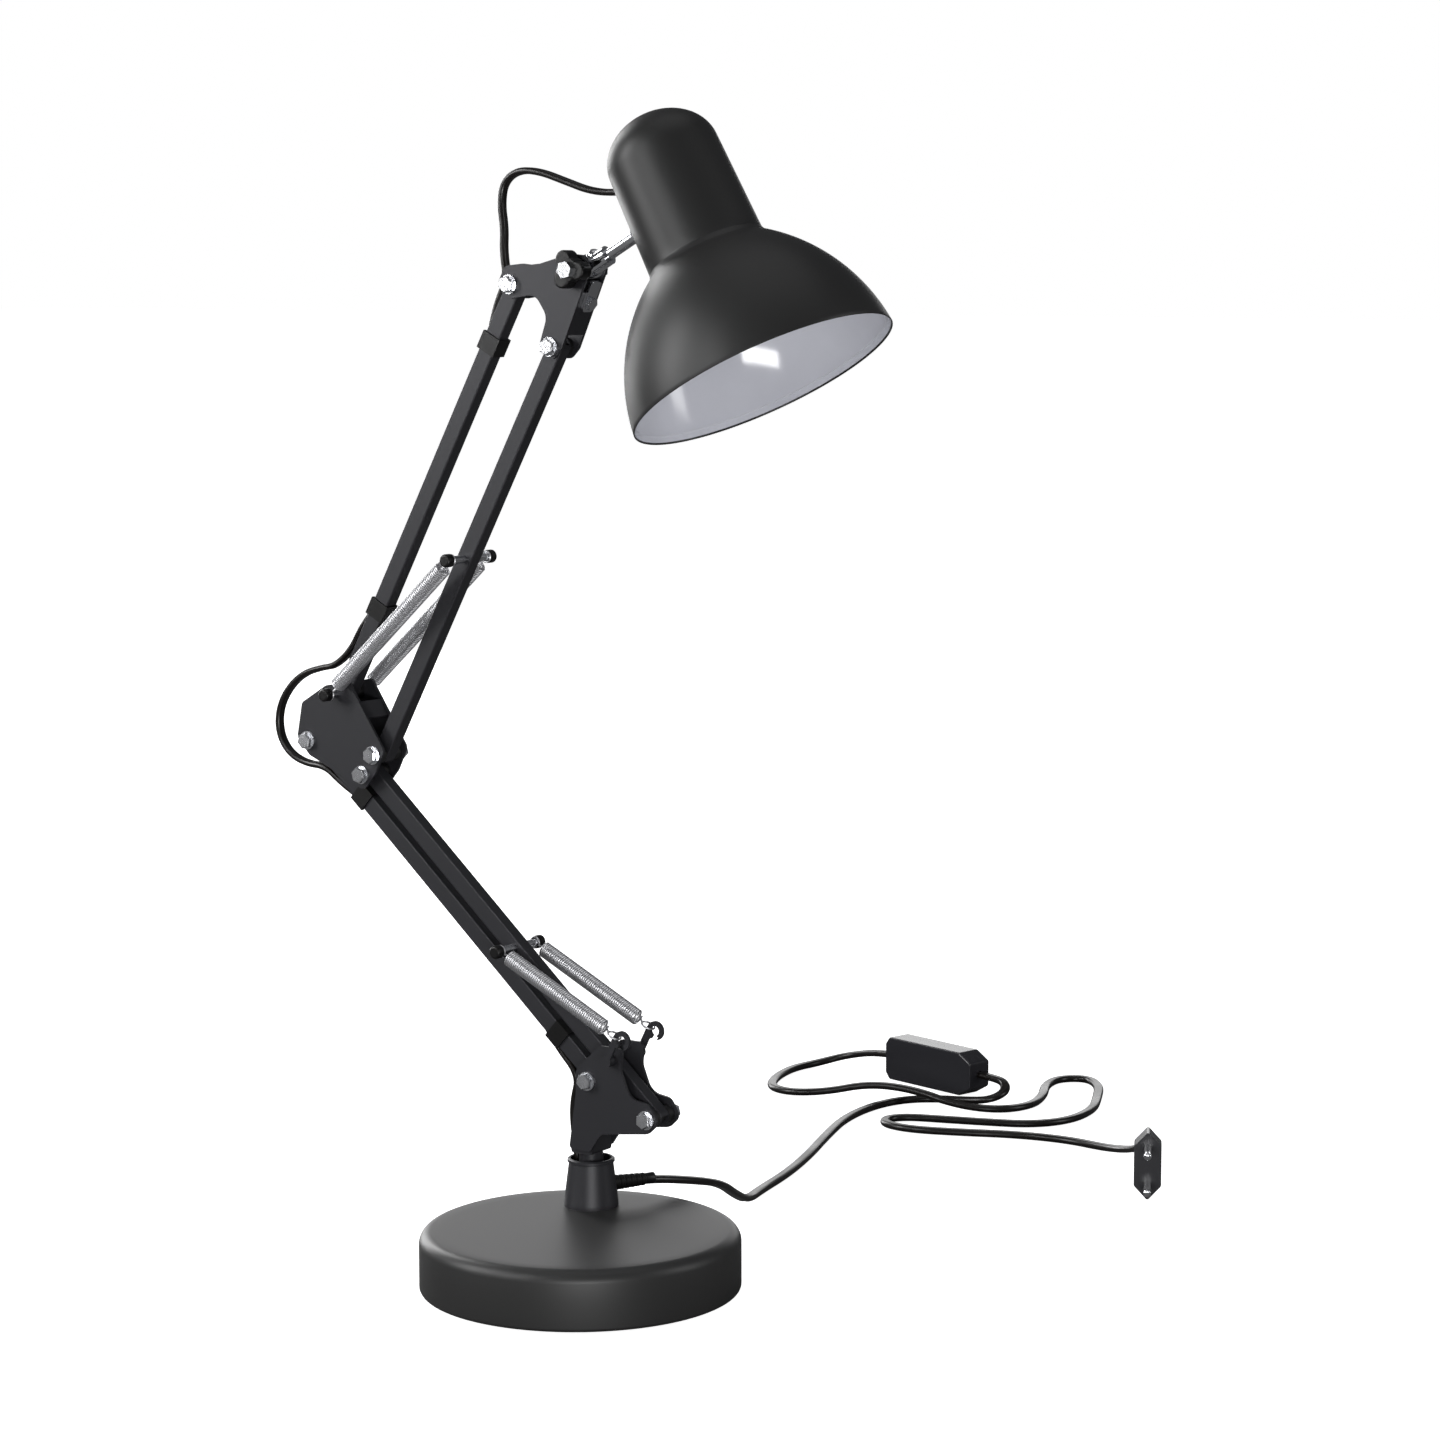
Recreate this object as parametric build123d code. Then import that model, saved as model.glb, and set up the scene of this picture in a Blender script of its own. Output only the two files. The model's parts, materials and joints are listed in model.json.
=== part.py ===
from build123d import *
import os
from math import atan2, cos, degrees, hypot, pi, radians, sin, tan

# Swing arm desk lamp. Millimetres, +Z up, origin at the centre of the base's underside.
# The arm swings in a plane of constant Y through the post, leaning back towards -X.

# ---- driving dimensions: base -------------------------------------------------------------
BASE_D = 150.0            # across the widest part of the base
BASE_TOP_Z = 28.8         # flat top of the base
BASE_SHOULDER_R = 5.5     # rounding between side and top
BASE_HEM_R = 1.6          # small rounding at the bottom edge
BASE_LIFT = 0.8           # gap between the shell's lower edge and the table
SHEET_BASE = 1.2          # shell's sheet thickness
PAD_D = 132.0
PAD_T = 1.6
PLATE_T = 1.2             # bottom plate
WEIGHT_GAP = 1.0          # air between weight and shell
WEIGHT_H = 17.0
BASE_SCREW_PCD = 96.0
BASE_SCREW_D = 4.0
BASE_SCREW_N = 3
POST_X = -20.7            # the post stands off the base's centre
POST_Y = 37.1

# ---- driving dimensions: collar, post and swivel ---------------------------------------------
STEM_D = 11.5
LEAD_W = 5.0              # flat lead along the arm, across its width
LEAD_T = 3.2
LEAD_GAP = 0.15           # between lead and stem
COLLAR_WALL = 0.8
COLLAR_SLACK = 0.85       # room left beside stem and lead inside the collar
COLLAR_TOP_D = STEM_D + 2 * (LEAD_T + COLLAR_SLACK + COLLAR_WALL)
COLLAR_BOTTOM_D = COLLAR_TOP_D + 4.9
COLLAR_H = 23.0
COLLAR_LIP = 0.7
SOCKET_OD = STEM_D + 5.5
SOCKET_FLANGE_D = SOCKET_OD + 5.0
SOCKET_FLANGE_T = 1.6
RUN_GAP = 0.05            # radial running clearance
NECK_W = STEM_D + 0.5     # square neck on top of the stem, between the bracket's plates
NECK_Z = 55.0
CORD_EXIT_ANGLE = 61.0    # where the cord leaves the collar, from +X
CORD_EXIT_Z = 38.0
GROMMET_L = 9.0
GROMMET_FLANGE_D = 8.6

# ---- driving dimensions: arm linkage ---------------------------------------------------------
BAR_SPAN = 226.0          # pivot to pivot, all four bars
PIVOT_SPACING = 37.0      # between the two pivots in each bracket
LOWER_ANGLE = 138.5       # lower arm, degrees from +X
UPPER_ANGLE = 61.7        # upper arm
LOWER_SET = -22.9         # line through the lower arm's two pivots in a bracket
UPPER_SET = -50.9         # line through the upper arm's two pivots in a bracket
LOWER_PIVOT = (4.6, 91.1)     # rear pivot of the lower arm, from the post's axis and the table
ELBOW_STEP = (17.9, 24.3)     # rear lower pivot to rear upper pivot, on the elbow
TILT_STEP = (39.6, 6.7)       # rear pivot on the head bracket to the shade's tilt axis

BAR_W = 8.8               # bar section in the plane of the arm
BAR_T = 7.2               # bar section across the arm
BAR_WALL = 0.9
BAR_EDGE_R = 0.8
PLATE_HALF = 9.4          # half the outside width of the lower and elbow brackets
HEAD_HALF = 7.4           # half the outside width of the head bracket
SHEET = 1.5               # bracket sheet
BOLT_D = 4.0
BOLT_AF = 1.75 * BOLT_D
BOLT_HEAD_H = 0.7 * BOLT_D
NUT_H = 0.8 * BOLT_D
WASHER_D = 2.25 * BOLT_D
WASHER_T = 0.8
BUSH_D = BOLT_D + 2.0
BUSH_FLANGE_D = BAR_W - 0.4
SIDE_GAP = 0.1            # bush flange to bracket plate
SEAT = 0.02               # clearance of pieces that are fixed in one body

# ---- driving dimensions: springs and cross pins -----------------------------------------------
SPRING_OD = 8.0
SPRING_WIRE = 1.0
SPRING_Y = PLATE_HALF + SPRING_OD / 2 + 0.3
PIN_D = 4.0
CAP_D = PIN_D + 2.4
CAP_Y = SPRING_Y + SPRING_WIRE / 2 + 0.4
CAP_L = 4.2
PIN_HALF = CAP_Y + CAP_L / 2
LOWER_PIN_AT = 109.0      # from the front lower pivot along the front lower bar
UPPER_PIN_AT = 111.0      # from the front upper pivot along the front upper bar
HOOK_AT = (28.0, 114.0)   # where the lower springs hold on the lower bracket
HOOK_T = 1.6
HOOK_R = 4.6
HOOK_EYE_R = 2.4
SPRING_EYE_R = 3.2        # loop that goes through the hook
HOOK_SLACK = 0.35         # loop's wire to the hook's inside

# ---- driving dimensions: head and shade -------------------------------------------------------
SHADE_TILT = 28.7         # shade axis from vertical
ROD_D = 5.6
ROD_REACH = 62.0          # tilt axis to shade axis
ROD_STATION = 90.0        # rod's height above the rim, along the shade's axis
RIM_R = 63.4
BELL_MID = (55.2, 29.9)   # radius and height of a middle point of the bell's arc
NECK_R = 27.8
BELL_H = 62.8
CAP_TOP_R = 26.5
CAP_STRAIGHT_Z = 113.0
SHADE_H = 134.5
SHADE_T = 0.8
BEAD_R = 1.1
HOLDER_R = 19.5
HOLDER_TOP = 116.0
HOLDER_BOTTOM = 71.0
THREAD_R = 13.2           # inside of the lamp holder's screw shell
THREAD_T = 0.5
THREAD_L = 20.0
CONTACT_ROOM = 4.0
ROD_NUT_T = 2.4
LEG_T = 1.2               # lamp holder bracket's strip
LEG_W = 11.0
LEG_GAP = 1.9             # flat leg to the cap's curved wall, on the shade's middle line
NUT_GAP = 0.3             # rod's outer nut to the cap's wall, on the same line
SCREW_R = 1.5
SCREW_STEP = 9.5          # cap screw above the rod
LEAD_STATION = 111.0      # lead's entry above the rim
LEAD_HOLE_R = 3.2
KNOB_R = 9.5
KNOB_T = 8.0
KNUCKLE_R = 5.2

# ---- driving dimensions: lead ----------------------------------------------------------------
CORD_D = 4.2              # round solid that stands for the flat lead on the table
LEAD_OFF = BAR_W / 2 + LEAD_T / 2 + 0.4     # lead's centre line from the bar's, outside the bar
LEAD_IN = BAR_W / 2 - BAR_WALL - LEAD_T / 2 - 0.2     # the same, inside the bar
SLOT_L = 25.0             # slot in the bar's back wall
SLOT_NEAR_D = 25.0        # where the slots begin, from the pivot they are close to
SLOT_NEAR_A = 24.5
SLOT_NEAR_H = 32.5
SLOT_NEAR_F = 14.5
SLEEVE_L = 9.0
SLEEVE_WALL = 0.9

# ---- driving dimensions: inline switch and plug -------------------------------------------------
SWITCH_L = 69.0
SWITCH_H = 25.0
SWITCH_T = 17.0
SWITCH_AT = (-74.6, 452.5)
SWITCH_TURN = -14.2
ROCKER_L = 16.0
ROCKER_W = 10.0
ROCKER_TIP = 2.4
ROCKER_GAP = 0.3
ROCKER_AXIS_Y = 7.0       # rocker's axle behind the switch's middle plane
AXLE_R = 0.9
AXLE_REACH = 1.2
SWITCH_END_WALL = 9.0
PLUG_W = 35.5
PLUG_T = 14.0
PLUG_L = 30.0
PLUG_BEVEL = 7.5
PLUG_TIP_R = 1.0
PLUG_PIN_D = 4.0
PLUG_PIN_L = 19.0
PLUG_PIN_TIP_R = 1.2
PLUG_PIN_GAP = 19.0
PLUG_ROOT_D = 3.4         # pins' roots inside the plug
PLUG_ROOT_L = 10.0
PLUG_FACE = (145.0, 291.0)
PLUG_TURN = -63.0         # direction that the pins point in, from +X

os.makedirs("parts", exist_ok=True)


# ---- small geometry helpers -------------------------------------------------------------------
def unit(angle):
    return (cos(radians(angle)), sin(radians(angle)))


def step(point, angle, distance, side=0.0):
    """A point of the arm's plane: along a direction, then to its left by side."""
    c, s = unit(angle)
    return (point[0] + c * distance - s * side, point[1] + s * distance + c * side)


def slab(outline, y_low, thickness):
    """A flat outline of the arm's plane, as thick as stated, from y_low upwards in Y."""
    face = Plane.XZ * outline
    return extrude(Pos(0, y_low + thickness, 0) * face, amount=thickness)


def rounded(points, radii):
    return make_face(FilletPolyline(*points, radius=radii, close=True))


def bar_y(point, radius, y_low, y_high):
    length = y_high - y_low
    return Pos(point[0], (y_low + y_high) / 2, point[1]) * Rot(90, 0, 0) * Cylinder(radius, length)


def ring_y(point, outer, inner, y_low, y_high):
    return bar_y(point, outer, y_low, y_high) - bar_y(point, inner, y_low - 1, y_high + 1)


def hex_y(point, across_flats, y_low, y_high, turn=0.0):
    corner = across_flats / 2 / cos(pi / 6)
    outline = Pos(point[0], point[1]) * RegularPolygon(corner, 6, rotation=turn)
    return slab(outline, y_low, y_high - y_low)


def capsule(start, end, width):
    """A straight strip with round ends about two points of the arm's plane."""
    angle = degrees(atan2(end[1] - start[1], end[0] - start[0]))
    length = hypot(end[0] - start[0], end[1] - start[1])
    middle = ((start[0] + end[0]) / 2, (start[1] + end[1]) / 2)
    return Pos(*middle) * Rot(0, 0, angle) * SlotCenterToCenter(length, width)


def along(point, angle, length, width, height, shift=0.0, y=0.0):
    """A box that starts at a point and runs along a direction of the arm's plane."""
    block = Pos(length / 2, 0, shift) * Box(length, width, height)
    return Pos(point[0], y, point[1]) * Rot(0, -angle, 0) * block


def rod(start, end, radius):
    """A round rod between two points in space."""
    path = Line(Vector(*start), Vector(*end))
    return sweep(Plane(origin=path @ 0, z_dir=path % 0) * Circle(radius), path=path)


def on_post(shape):
    return Pos(POST_X, POST_Y, 0) * shape


def solids_of(shape):
    return list(shape.solids())


def save(name, shape):
    pieces = solids_of(shape) if not isinstance(shape, list) else shape
    flat = []
    for piece in pieces:
        flat.extend(piece.solids())
    result = flat[0] if len(flat) == 1 else Compound(children=flat)
    export_step(result, f"parts/{name}.step")


# ---- pivots of the linkage -----------------------------------------------------------------
D = LOWER_PIVOT
E = step(D, LOWER_SET, PIVOT_SPACING)
A = step(D, LOWER_ANGLE, BAR_SPAN)
C = step(A, LOWER_SET, PIVOT_SPACING)
H = (A[0] + ELBOW_STEP[0], A[1] + ELBOW_STEP[1])
B = step(H, UPPER_SET, PIVOT_SPACING)
F = step(H, UPPER_ANGLE, BAR_SPAN)
G = step(F, UPPER_SET, PIVOT_SPACING)
T = (F[0] + TILT_STEP[0], F[1] + TILT_STEP[1])
LOWER_PIN = step(E, LOWER_ANGLE, LOWER_PIN_AT)
UPPER_PIN = step(B, UPPER_ANGLE, UPPER_PIN_AT)


# ---- cord and lead paths -------------------------------------------------------------------
def corner_radii(points):
    """The largest arcs that the runs allow: 0.45 of the shorter run over tan of half the turn."""
    radii = []
    for before, here, after in zip(points, points[1:], points[2:]):
        run_in = Vector(*here) - Vector(*before)
        run_out = Vector(*after) - Vector(*here)
        half_turn = radians(run_in.get_angle(run_out)) / 2
        radii.append(0.45 * min(run_in.length, run_out.length) / tan(half_turn))
    return radii


def cord_path(name, points):
    radii = corner_radii(points)
    print(name, "radii", [round(radius, 1) for radius in radii])
    return FilletPolyline(*[Vector(*p) for p in points], radius=radii)


def round_cord(name, points):
    path = cord_path(name, points)
    tube = sweep(Plane(origin=path @ 0, z_dir=path % 0) * Circle(CORD_D / 2), path=path)
    section = pi * CORD_D ** 2 / 4
    print(name, "length", round(path.length, 1), "volume ratio", round(tube.volume / section / path.length, 4))
    return tube


def flat_lead(name, points):
    """A flat lead in the arm's plane, its width across the arm."""
    path = cord_path(name, [(x, 0, z) for x, z in points])
    start = Plane(origin=path @ 0, x_dir=(0, 1, 0), z_dir=path % 0)
    tube = sweep(start * SlotOverall(LEAD_W, LEAD_T), path=path)
    print(name, "length", round(path.length, 1))
    return tube


# ---- base ------------------------------------------------------------------------------------
def revolved(points):
    return revolve(Plane.XZ * make_face(Polyline(*points, close=True)), axis=Axis.Z)


def base_outer(inset):
    radius = BASE_D / 2 - inset
    top = BASE_TOP_Z - inset
    upward = (Align.CENTER, Align.CENTER, Align.MIN)
    body = Pos(0, 0, BASE_LIFT) * Cylinder(radius, top - BASE_LIFT, align=upward)
    body = fillet(body.edges().group_by(Axis.Z)[-1], BASE_SHOULDER_R - inset)
    if inset == 0.0:
        body = fillet(body.edges().group_by(Axis.Z)[0], BASE_HEM_R)
    return body


def post_hole(radius, low, high):
    return Pos(POST_X, POST_Y, (low + high) / 2) * Cylinder(radius, high - low)


def base_shell():
    hollow = base_outer(SHEET_BASE)
    floor_cut = Cylinder(BASE_D / 2 - BASE_HEM_R - 0.2, 2 * BASE_LIFT + 2 * SHEET_BASE)
    return base_outer(0.0) - hollow - floor_cut - post_hole(SOCKET_OD / 2 + SEAT, 10, 40)


def foot_pad():
    pad = Pos(0, 0, PAD_T / 2) * Cylinder(PAD_D / 2, PAD_T)
    return fillet(pad.edges().group_by(Axis.Z)[0], 0.5)


def screw_spots():
    return PolarLocations(BASE_SCREW_PCD / 2, BASE_SCREW_N, start_angle=20)


def bottom_plate():
    radius = BASE_D / 2 - SHEET_BASE - 0.3
    plate = Pos(0, 0, PAD_T + PLATE_T / 2) * Cylinder(radius, PLATE_T)
    for spot in screw_spots():
        plate -= spot * Cylinder(BASE_SCREW_D / 2 + SEAT, 20)
    return plate


def base_weight():
    low = PAD_T + PLATE_T
    radius = BASE_D / 2 - SHEET_BASE - WEIGHT_GAP
    weight = Pos(0, 0, low + WEIGHT_H / 2) * Cylinder(radius, WEIGHT_H)
    weight = chamfer(weight.edges().group_by(Axis.Z)[-1], 2.0)
    for spot in screw_spots():
        weight -= spot * Cylinder(BASE_SCREW_D / 2 + SEAT, 2 * (low + BASE_SCREW_D * 3))
    return weight - post_hole(SOCKET_OD / 2 + 0.3, 0, 40)


def base_screws():
    """Three screws from below, heads sunk in the pad's thickness."""
    screws = []
    for spot in screw_spots():
        head = Pos(0, 0, PAD_T / 2 + 0.4) * Cylinder(BASE_SCREW_D * 0.9, PAD_T - 0.8)
        shank = Pos(0, 0, PAD_T) * Cylinder(BASE_SCREW_D / 2, 11, align=(Align.CENTER, Align.CENTER, Align.MIN))
        screws.append(spot * (head + shank))
    return screws


def foot_pad_with_holes():
    pad = foot_pad()
    for spot in screw_spots():
        pad -= spot * Cylinder(BASE_SCREW_D * 0.9 + 0.3, 20)
    return pad


def swivel_socket():
    low = PAD_T + PLATE_T
    body = post_hole(SOCKET_OD / 2, low, BASE_TOP_Z + SOCKET_FLANGE_T)
    flange = post_hole(SOCKET_FLANGE_D / 2, BASE_TOP_Z, BASE_TOP_Z + SOCKET_FLANGE_T)
    return body + flange - post_hole(STEM_D / 2 + RUN_GAP, low + 3, BASE_TOP_Z + 20)


def exit_plane():
    """Origin on the post's axis at the exit's height, Z pointing out along the cord."""
    c, s = unit(CORD_EXIT_ANGLE)
    return Plane(origin=(POST_X, POST_Y, CORD_EXIT_Z), x_dir=(-s, c, 0), z_dir=(c, s, 0))


def collar_radius(z):
    share = (z - BASE_TOP_Z) / COLLAR_H
    return COLLAR_BOTTOM_D / 2 + (COLLAR_TOP_D - COLLAR_BOTTOM_D) / 2 * share


def collar():
    top_z = BASE_TOP_Z + COLLAR_H
    outer = [(0, BASE_TOP_Z), (COLLAR_BOTTOM_D / 2, BASE_TOP_Z), (COLLAR_BOTTOM_D / 2, BASE_TOP_Z + 1.5),
             (COLLAR_TOP_D / 2, top_z - 2.0), (COLLAR_TOP_D / 2 + COLLAR_LIP, top_z - 1.6),
             (COLLAR_TOP_D / 2 + COLLAR_LIP, top_z - 0.5), (COLLAR_TOP_D / 2, top_z), (0, top_z)]
    low_r = COLLAR_BOTTOM_D / 2 - COLLAR_WALL - 0.4
    high_r = COLLAR_TOP_D / 2 - COLLAR_WALL
    inner = [(0, BASE_TOP_Z - 1), (low_r, BASE_TOP_Z - 1), (low_r, BASE_TOP_Z + 1), (high_r, top_z - 2),
             (high_r, top_z + 1), (0, top_z + 1)]
    body = on_post(revolved(outer)) - on_post(revolved(inner))
    window = exit_plane() * Cylinder(CORD_D / 2 + 1.0, 40, align=(Align.CENTER, Align.CENTER, Align.MIN))
    return body - window


def cord_grommet():
    """Tapered strain relief: a flange inside the collar's wall and a sleeve outside."""
    wall = collar_radius(CORD_EXIT_Z)
    inner = CORD_D / 2 + SEAT
    profile = [(inner, wall - COLLAR_WALL - 1.9), (GROMMET_FLANGE_D / 2 - 0.8, wall - COLLAR_WALL - 1.9),
               (GROMMET_FLANGE_D / 2 - 0.8, wall - COLLAR_WALL - 0.9), (CORD_D / 2 + 0.95, wall - COLLAR_WALL - 0.9),
               (CORD_D / 2 + 0.95, wall + 0.8), (GROMMET_FLANGE_D / 2 - 0.3, wall + 0.8),
               (GROMMET_FLANGE_D / 2 - 0.5, wall + 1.8), (inner + 0.7, wall + GROMMET_L), (inner, wall + GROMMET_L)]
    return exit_plane() * revolved(profile)


# ---- turret: stem, lower bracket, spring hooks -----------------------------------------------
def stem():
    low = PAD_T + PLATE_T + 3.2
    pin = Pos(0, 0, low) * Cylinder(STEM_D / 2, NECK_Z + 2 - low, align=(Align.CENTER, Align.CENTER, Align.MIN))
    inside = 2 * (PLATE_HALF - SHEET) - 2 * SEAT
    neck = slab(rounded([(-NECK_W / 2, NECK_Z), (NECK_W / 2, NECK_Z), (NECK_W / 2 + 2, NECK_Z + 13),
                         (-NECK_W / 2 + 1, NECK_Z + 13)], 1.5), -inside / 2, inside)
    return on_post(pin + neck)


def lower_plate_outline():
    return rounded([(-6.0, NECK_Z + 2), (D[0] - 6.6, D[1] - 6), (D[0] - 6.4, D[1] + 5), (12.0, 109.0),
                    (25.5, 109.0), (24.0, 98.5), (E[0] - 9.5, E[1] + 9), (E[0] + 1.5, E[1] + 7.5),
                    (E[0] + 7.0, E[1] - 1.0), (E[0] + 1.0, E[1] - 6.6), (12.5, 66.4), (6.0, NECK_Z + 2)],
                   [2, 8, 5, 3, 3, 8, 8, 5, 4, 4, 4, 2])


def channel(outline, half, web_start, web_end, holes):
    """Two plates joined by a web on one edge, as one folded sheet, with its pivot holes."""
    body = slab(outline, -half, SHEET) + slab(outline, half - SHEET, SHEET)
    body += slab(capsule(web_start, web_end, SHEET), -half + SHEET / 2, 2 * half - SHEET)
    for hole in holes:
        body -= bar_y(hole, BOLT_D / 2 + SEAT, -half - 1, half + 1)
    return body


def lower_bracket():
    web_start = (14.5, 67.7)
    web_end = (E[0] - 6.0, E[1] - 5.2)
    return on_post(channel(lower_plate_outline(), PLATE_HALF, web_start, web_end, [D, E]))


def spring_hooks():
    """A curled hook on each side, standing off the bracket's ear on a riveted boss."""
    hooks = []
    x, z = HOOK_AT
    foot = (19.0, 103.0)
    for side in (-1, 1):
        eye = Pos(x, z) * Circle(HOOK_EYE_R)
        mouth = Pos(x - 1.0, z - HOOK_R) * Rot(0, 0, -35) * Rectangle(3.0, 6.0)
        blade = Pos(x, z) * Circle(HOOK_R) - mouth + capsule(foot, (x - 3.2, z + 0.6), 3.4) - eye
        low = side * SPRING_Y - HOOK_T / 2
        plate = slab(blade, low, HOOK_T)
        near = PLATE_HALF + SEAT
        far = SPRING_Y + HOOK_T / 2
        boss = bar_y(foot, 2.8, min(side * near, side * far), max(side * near, side * far))
        hooks.append(on_post(plate + boss))
    return hooks


def bolts(points, half, turn=15.0):
    """Hex bolts from the near side, threaded ends through the nuts on the far side."""
    made = []
    for index, point in enumerate(points):
        seat = -half - WASHER_T
        head = hex_y(point, BOLT_AF, seat - BOLT_HEAD_H, seat, turn * (index + 1))
        head = chamfer(head.edges().group_by(Axis.Y)[0], 0.5)
        shank = bar_y(point, BOLT_D / 2, seat - 0.5, half + WASHER_T + NUT_H + 0.8)
        made.append(on_post(head + shank))
    return made


def nuts(points, half, turn=15.0):
    """Washers under the heads and under the nuts, and the nuts, each a piece of its own."""
    made = []
    hole = BOLT_D / 2 + SEAT
    for index, point in enumerate(points):
        made.append(on_post(ring_y(point, WASHER_D / 2, hole, -half - WASHER_T, -half)))
        made.append(on_post(ring_y(point, WASHER_D / 2, hole, half, half + WASHER_T)))
        nut = hex_y(point, BOLT_AF, half + WASHER_T, half + WASHER_T + NUT_H, turn * (index + 2))
        made.append(on_post(nut - bar_y(point, hole, half, half + 8)))
    return made


# ---- bars, bushes, sleeves --------------------------------------------------------------------
def bar(start, end, extra_holes=(), slots=()):
    """A rectangular tube with rounded ends, its pivot holes and its lead slots."""
    angle = degrees(atan2(end[1] - start[1], end[0] - start[0]))
    body = slab(capsule(start, end, BAR_W), -BAR_T / 2, BAR_T)
    body = fillet(body.edges().group_by(Axis.Y)[0] + body.edges().group_by(Axis.Y)[-1], BAR_EDGE_R)
    tail = step(start, angle, -BAR_W)
    body -= along(tail, angle, BAR_SPAN + 2 * BAR_W, BAR_T - 2 * BAR_WALL, BAR_W - 2 * BAR_WALL)
    for hole in (start, end):
        body -= bar_y(hole, BUSH_D / 2 + SEAT, -BAR_T, BAR_T)
    for hole in extra_holes:
        body -= bar_y(hole, PIN_D / 2 + SEAT, -BAR_T, BAR_T)
    for slot_from in slots:
        body -= along(step(start, angle, slot_from), angle, SLOT_L, BAR_T - 2 * BAR_WALL, BAR_W, BAR_W / 2)
    return on_post(body)


def bushes(points, half):
    """Flanged bushes that turn on the bolts and space the bar from the plates."""
    made = []
    reach = half - SHEET - SIDE_GAP
    for point in points:
        sleeve = bar_y(point, BUSH_D / 2, -reach, reach)
        flange_low = bar_y(point, BUSH_FLANGE_D / 2, -reach, -BAR_T / 2 - SEAT)
        flange_high = bar_y(point, BUSH_FLANGE_D / 2, BAR_T / 2 + SEAT, reach)
        bore = bar_y(point, BOLT_D / 2 + RUN_GAP, -reach - 1, reach + 1)
        made.append(on_post(sleeve + flange_low + flange_high - bore))
    return made


def sleeve(pivot, angle, first):
    """A thin clip sleeve round a bar where the lead comes out of its back wall."""
    start = step(pivot, angle, first)
    before = step(pivot, angle, first - 1)
    outer = along(start, angle, SLEEVE_L, BAR_T + 2 * SLEEVE_WALL, BAR_W + 2 * SLEEVE_WALL)
    inner = along(before, angle, SLEEVE_L + 2, BAR_T + 2 * SEAT, BAR_W + 2 * SEAT)
    window = along(before, angle, SLEEVE_L + 2, LEAD_W + 0.2, BAR_W, BAR_W / 2)
    return on_post(outer - inner - window)


def cross_pin(point, pin_d):
    return on_post(bar_y(point, pin_d / 2, -PIN_HALF, PIN_HALF))


def pin_caps(point, pin_d):
    caps = []
    for side in (-1, 1):
        ends = sorted((side * CAP_Y, side * (CAP_Y + CAP_L)))
        cap = bar_y(point, CAP_D / 2, *ends)
        outer_edge = cap.edges().group_by(Axis.Y)[0 if side < 0 else -1]
        cap = fillet(outer_edge, 1.2)
        caps.append(on_post(cap - bar_y(point, pin_d / 2 + SEAT, -PIN_HALF - SEAT, PIN_HALF + SEAT)))
    return caps


PIN_LOOP_R = PIN_D / 2 + SPRING_WIRE / 2 + 0.1


def spring_end(centre, y, angle, sign, free, hooked):
    """One end of a spring: wire loop round a pin or through a hook, its stem and the coil's last turn."""
    end = step(centre, angle, sign * (free + SPRING_WIRE / 2))
    if hooked:
        eye = step(centre, angle, sign * (HOOK_EYE_R - SPRING_WIRE / 2 - HOOK_SLACK + SPRING_EYE_R))
        loop = Pos(eye[0], y, eye[1]) * Rot(0, -angle, 0) * Torus(SPRING_EYE_R, SPRING_WIRE / 2)
        near = step(eye, angle, sign * SPRING_EYE_R)
    else:
        loop = Pos(centre[0], y, centre[1]) * Rot(90, 0, 0) * Torus(PIN_LOOP_R, SPRING_WIRE / 2)
        near = step(centre, angle, sign * PIN_LOOP_R)
    stem_wire = rod((near[0], y, near[1]), (end[0], y, end[1]), SPRING_WIRE / 2)
    last_turn = Pos(end[0], y, end[1]) * Rot(0, 90 - angle, 0) * Cylinder(SPRING_OD / 2, SPRING_WIRE)
    return loop + stem_wire + last_turn


def springs(pin, hold, pin_free, hold_free, hooked):
    """Two tension springs, each a close-wound coil's outer shape with a wire loop at each end."""
    angle = degrees(atan2(hold[1] - pin[1], hold[0] - pin[0]))
    length = hypot(hold[0] - pin[0], hold[1] - pin[1])
    made = []
    for side in (-1, 1):
        y = side * SPRING_Y
        coil = Cylinder(SPRING_OD / 2, length - pin_free - hold_free)
        coil -= Cylinder(SPRING_OD / 2 - SPRING_WIRE, length)
        middle = step(pin, angle, (length + pin_free - hold_free) / 2)
        spring = Pos(middle[0], y, middle[1]) * Rot(0, 90 - angle, 0) * coil
        spring += spring_end(pin, y, angle, 1, pin_free, False)
        spring += spring_end(hold, y, angle, -1, hold_free, hooked)
        made.append(on_post(spring))
    return made


# ---- elbow --------------------------------------------------------------------------------------
def elbow_outline():
    return rounded([(A[0] + 12.0, A[1] + 28.0), (A[0] - 3.4, A[1] + 18.6), (A[0] - 6.7, A[1] + 1.0),
                    (A[0] + 1.0, A[1] - 7.2), (C[0] - 4.5, C[1] - 5.0), (C[0] + 1.0, C[1] - 8.0),
                    (C[0] + 8.5, C[1] + 1.0), (B[0] + 7.0, B[1] + 2.5), (B[0] - 12.0, B[1] + 31.0),
                    (H[0] + 9.0, H[1] + 6.5)], [3, 3, 3, 3, 6, 4, 4, 4, 3, 3])


def elbow_bracket():
    web_start = step(B, 107.0, 18.6)
    web_end = step(B, 110.5, 26.4)
    return on_post(channel(elbow_outline(), PLATE_HALF, web_start, web_end, [A, B, C, H]))


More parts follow.
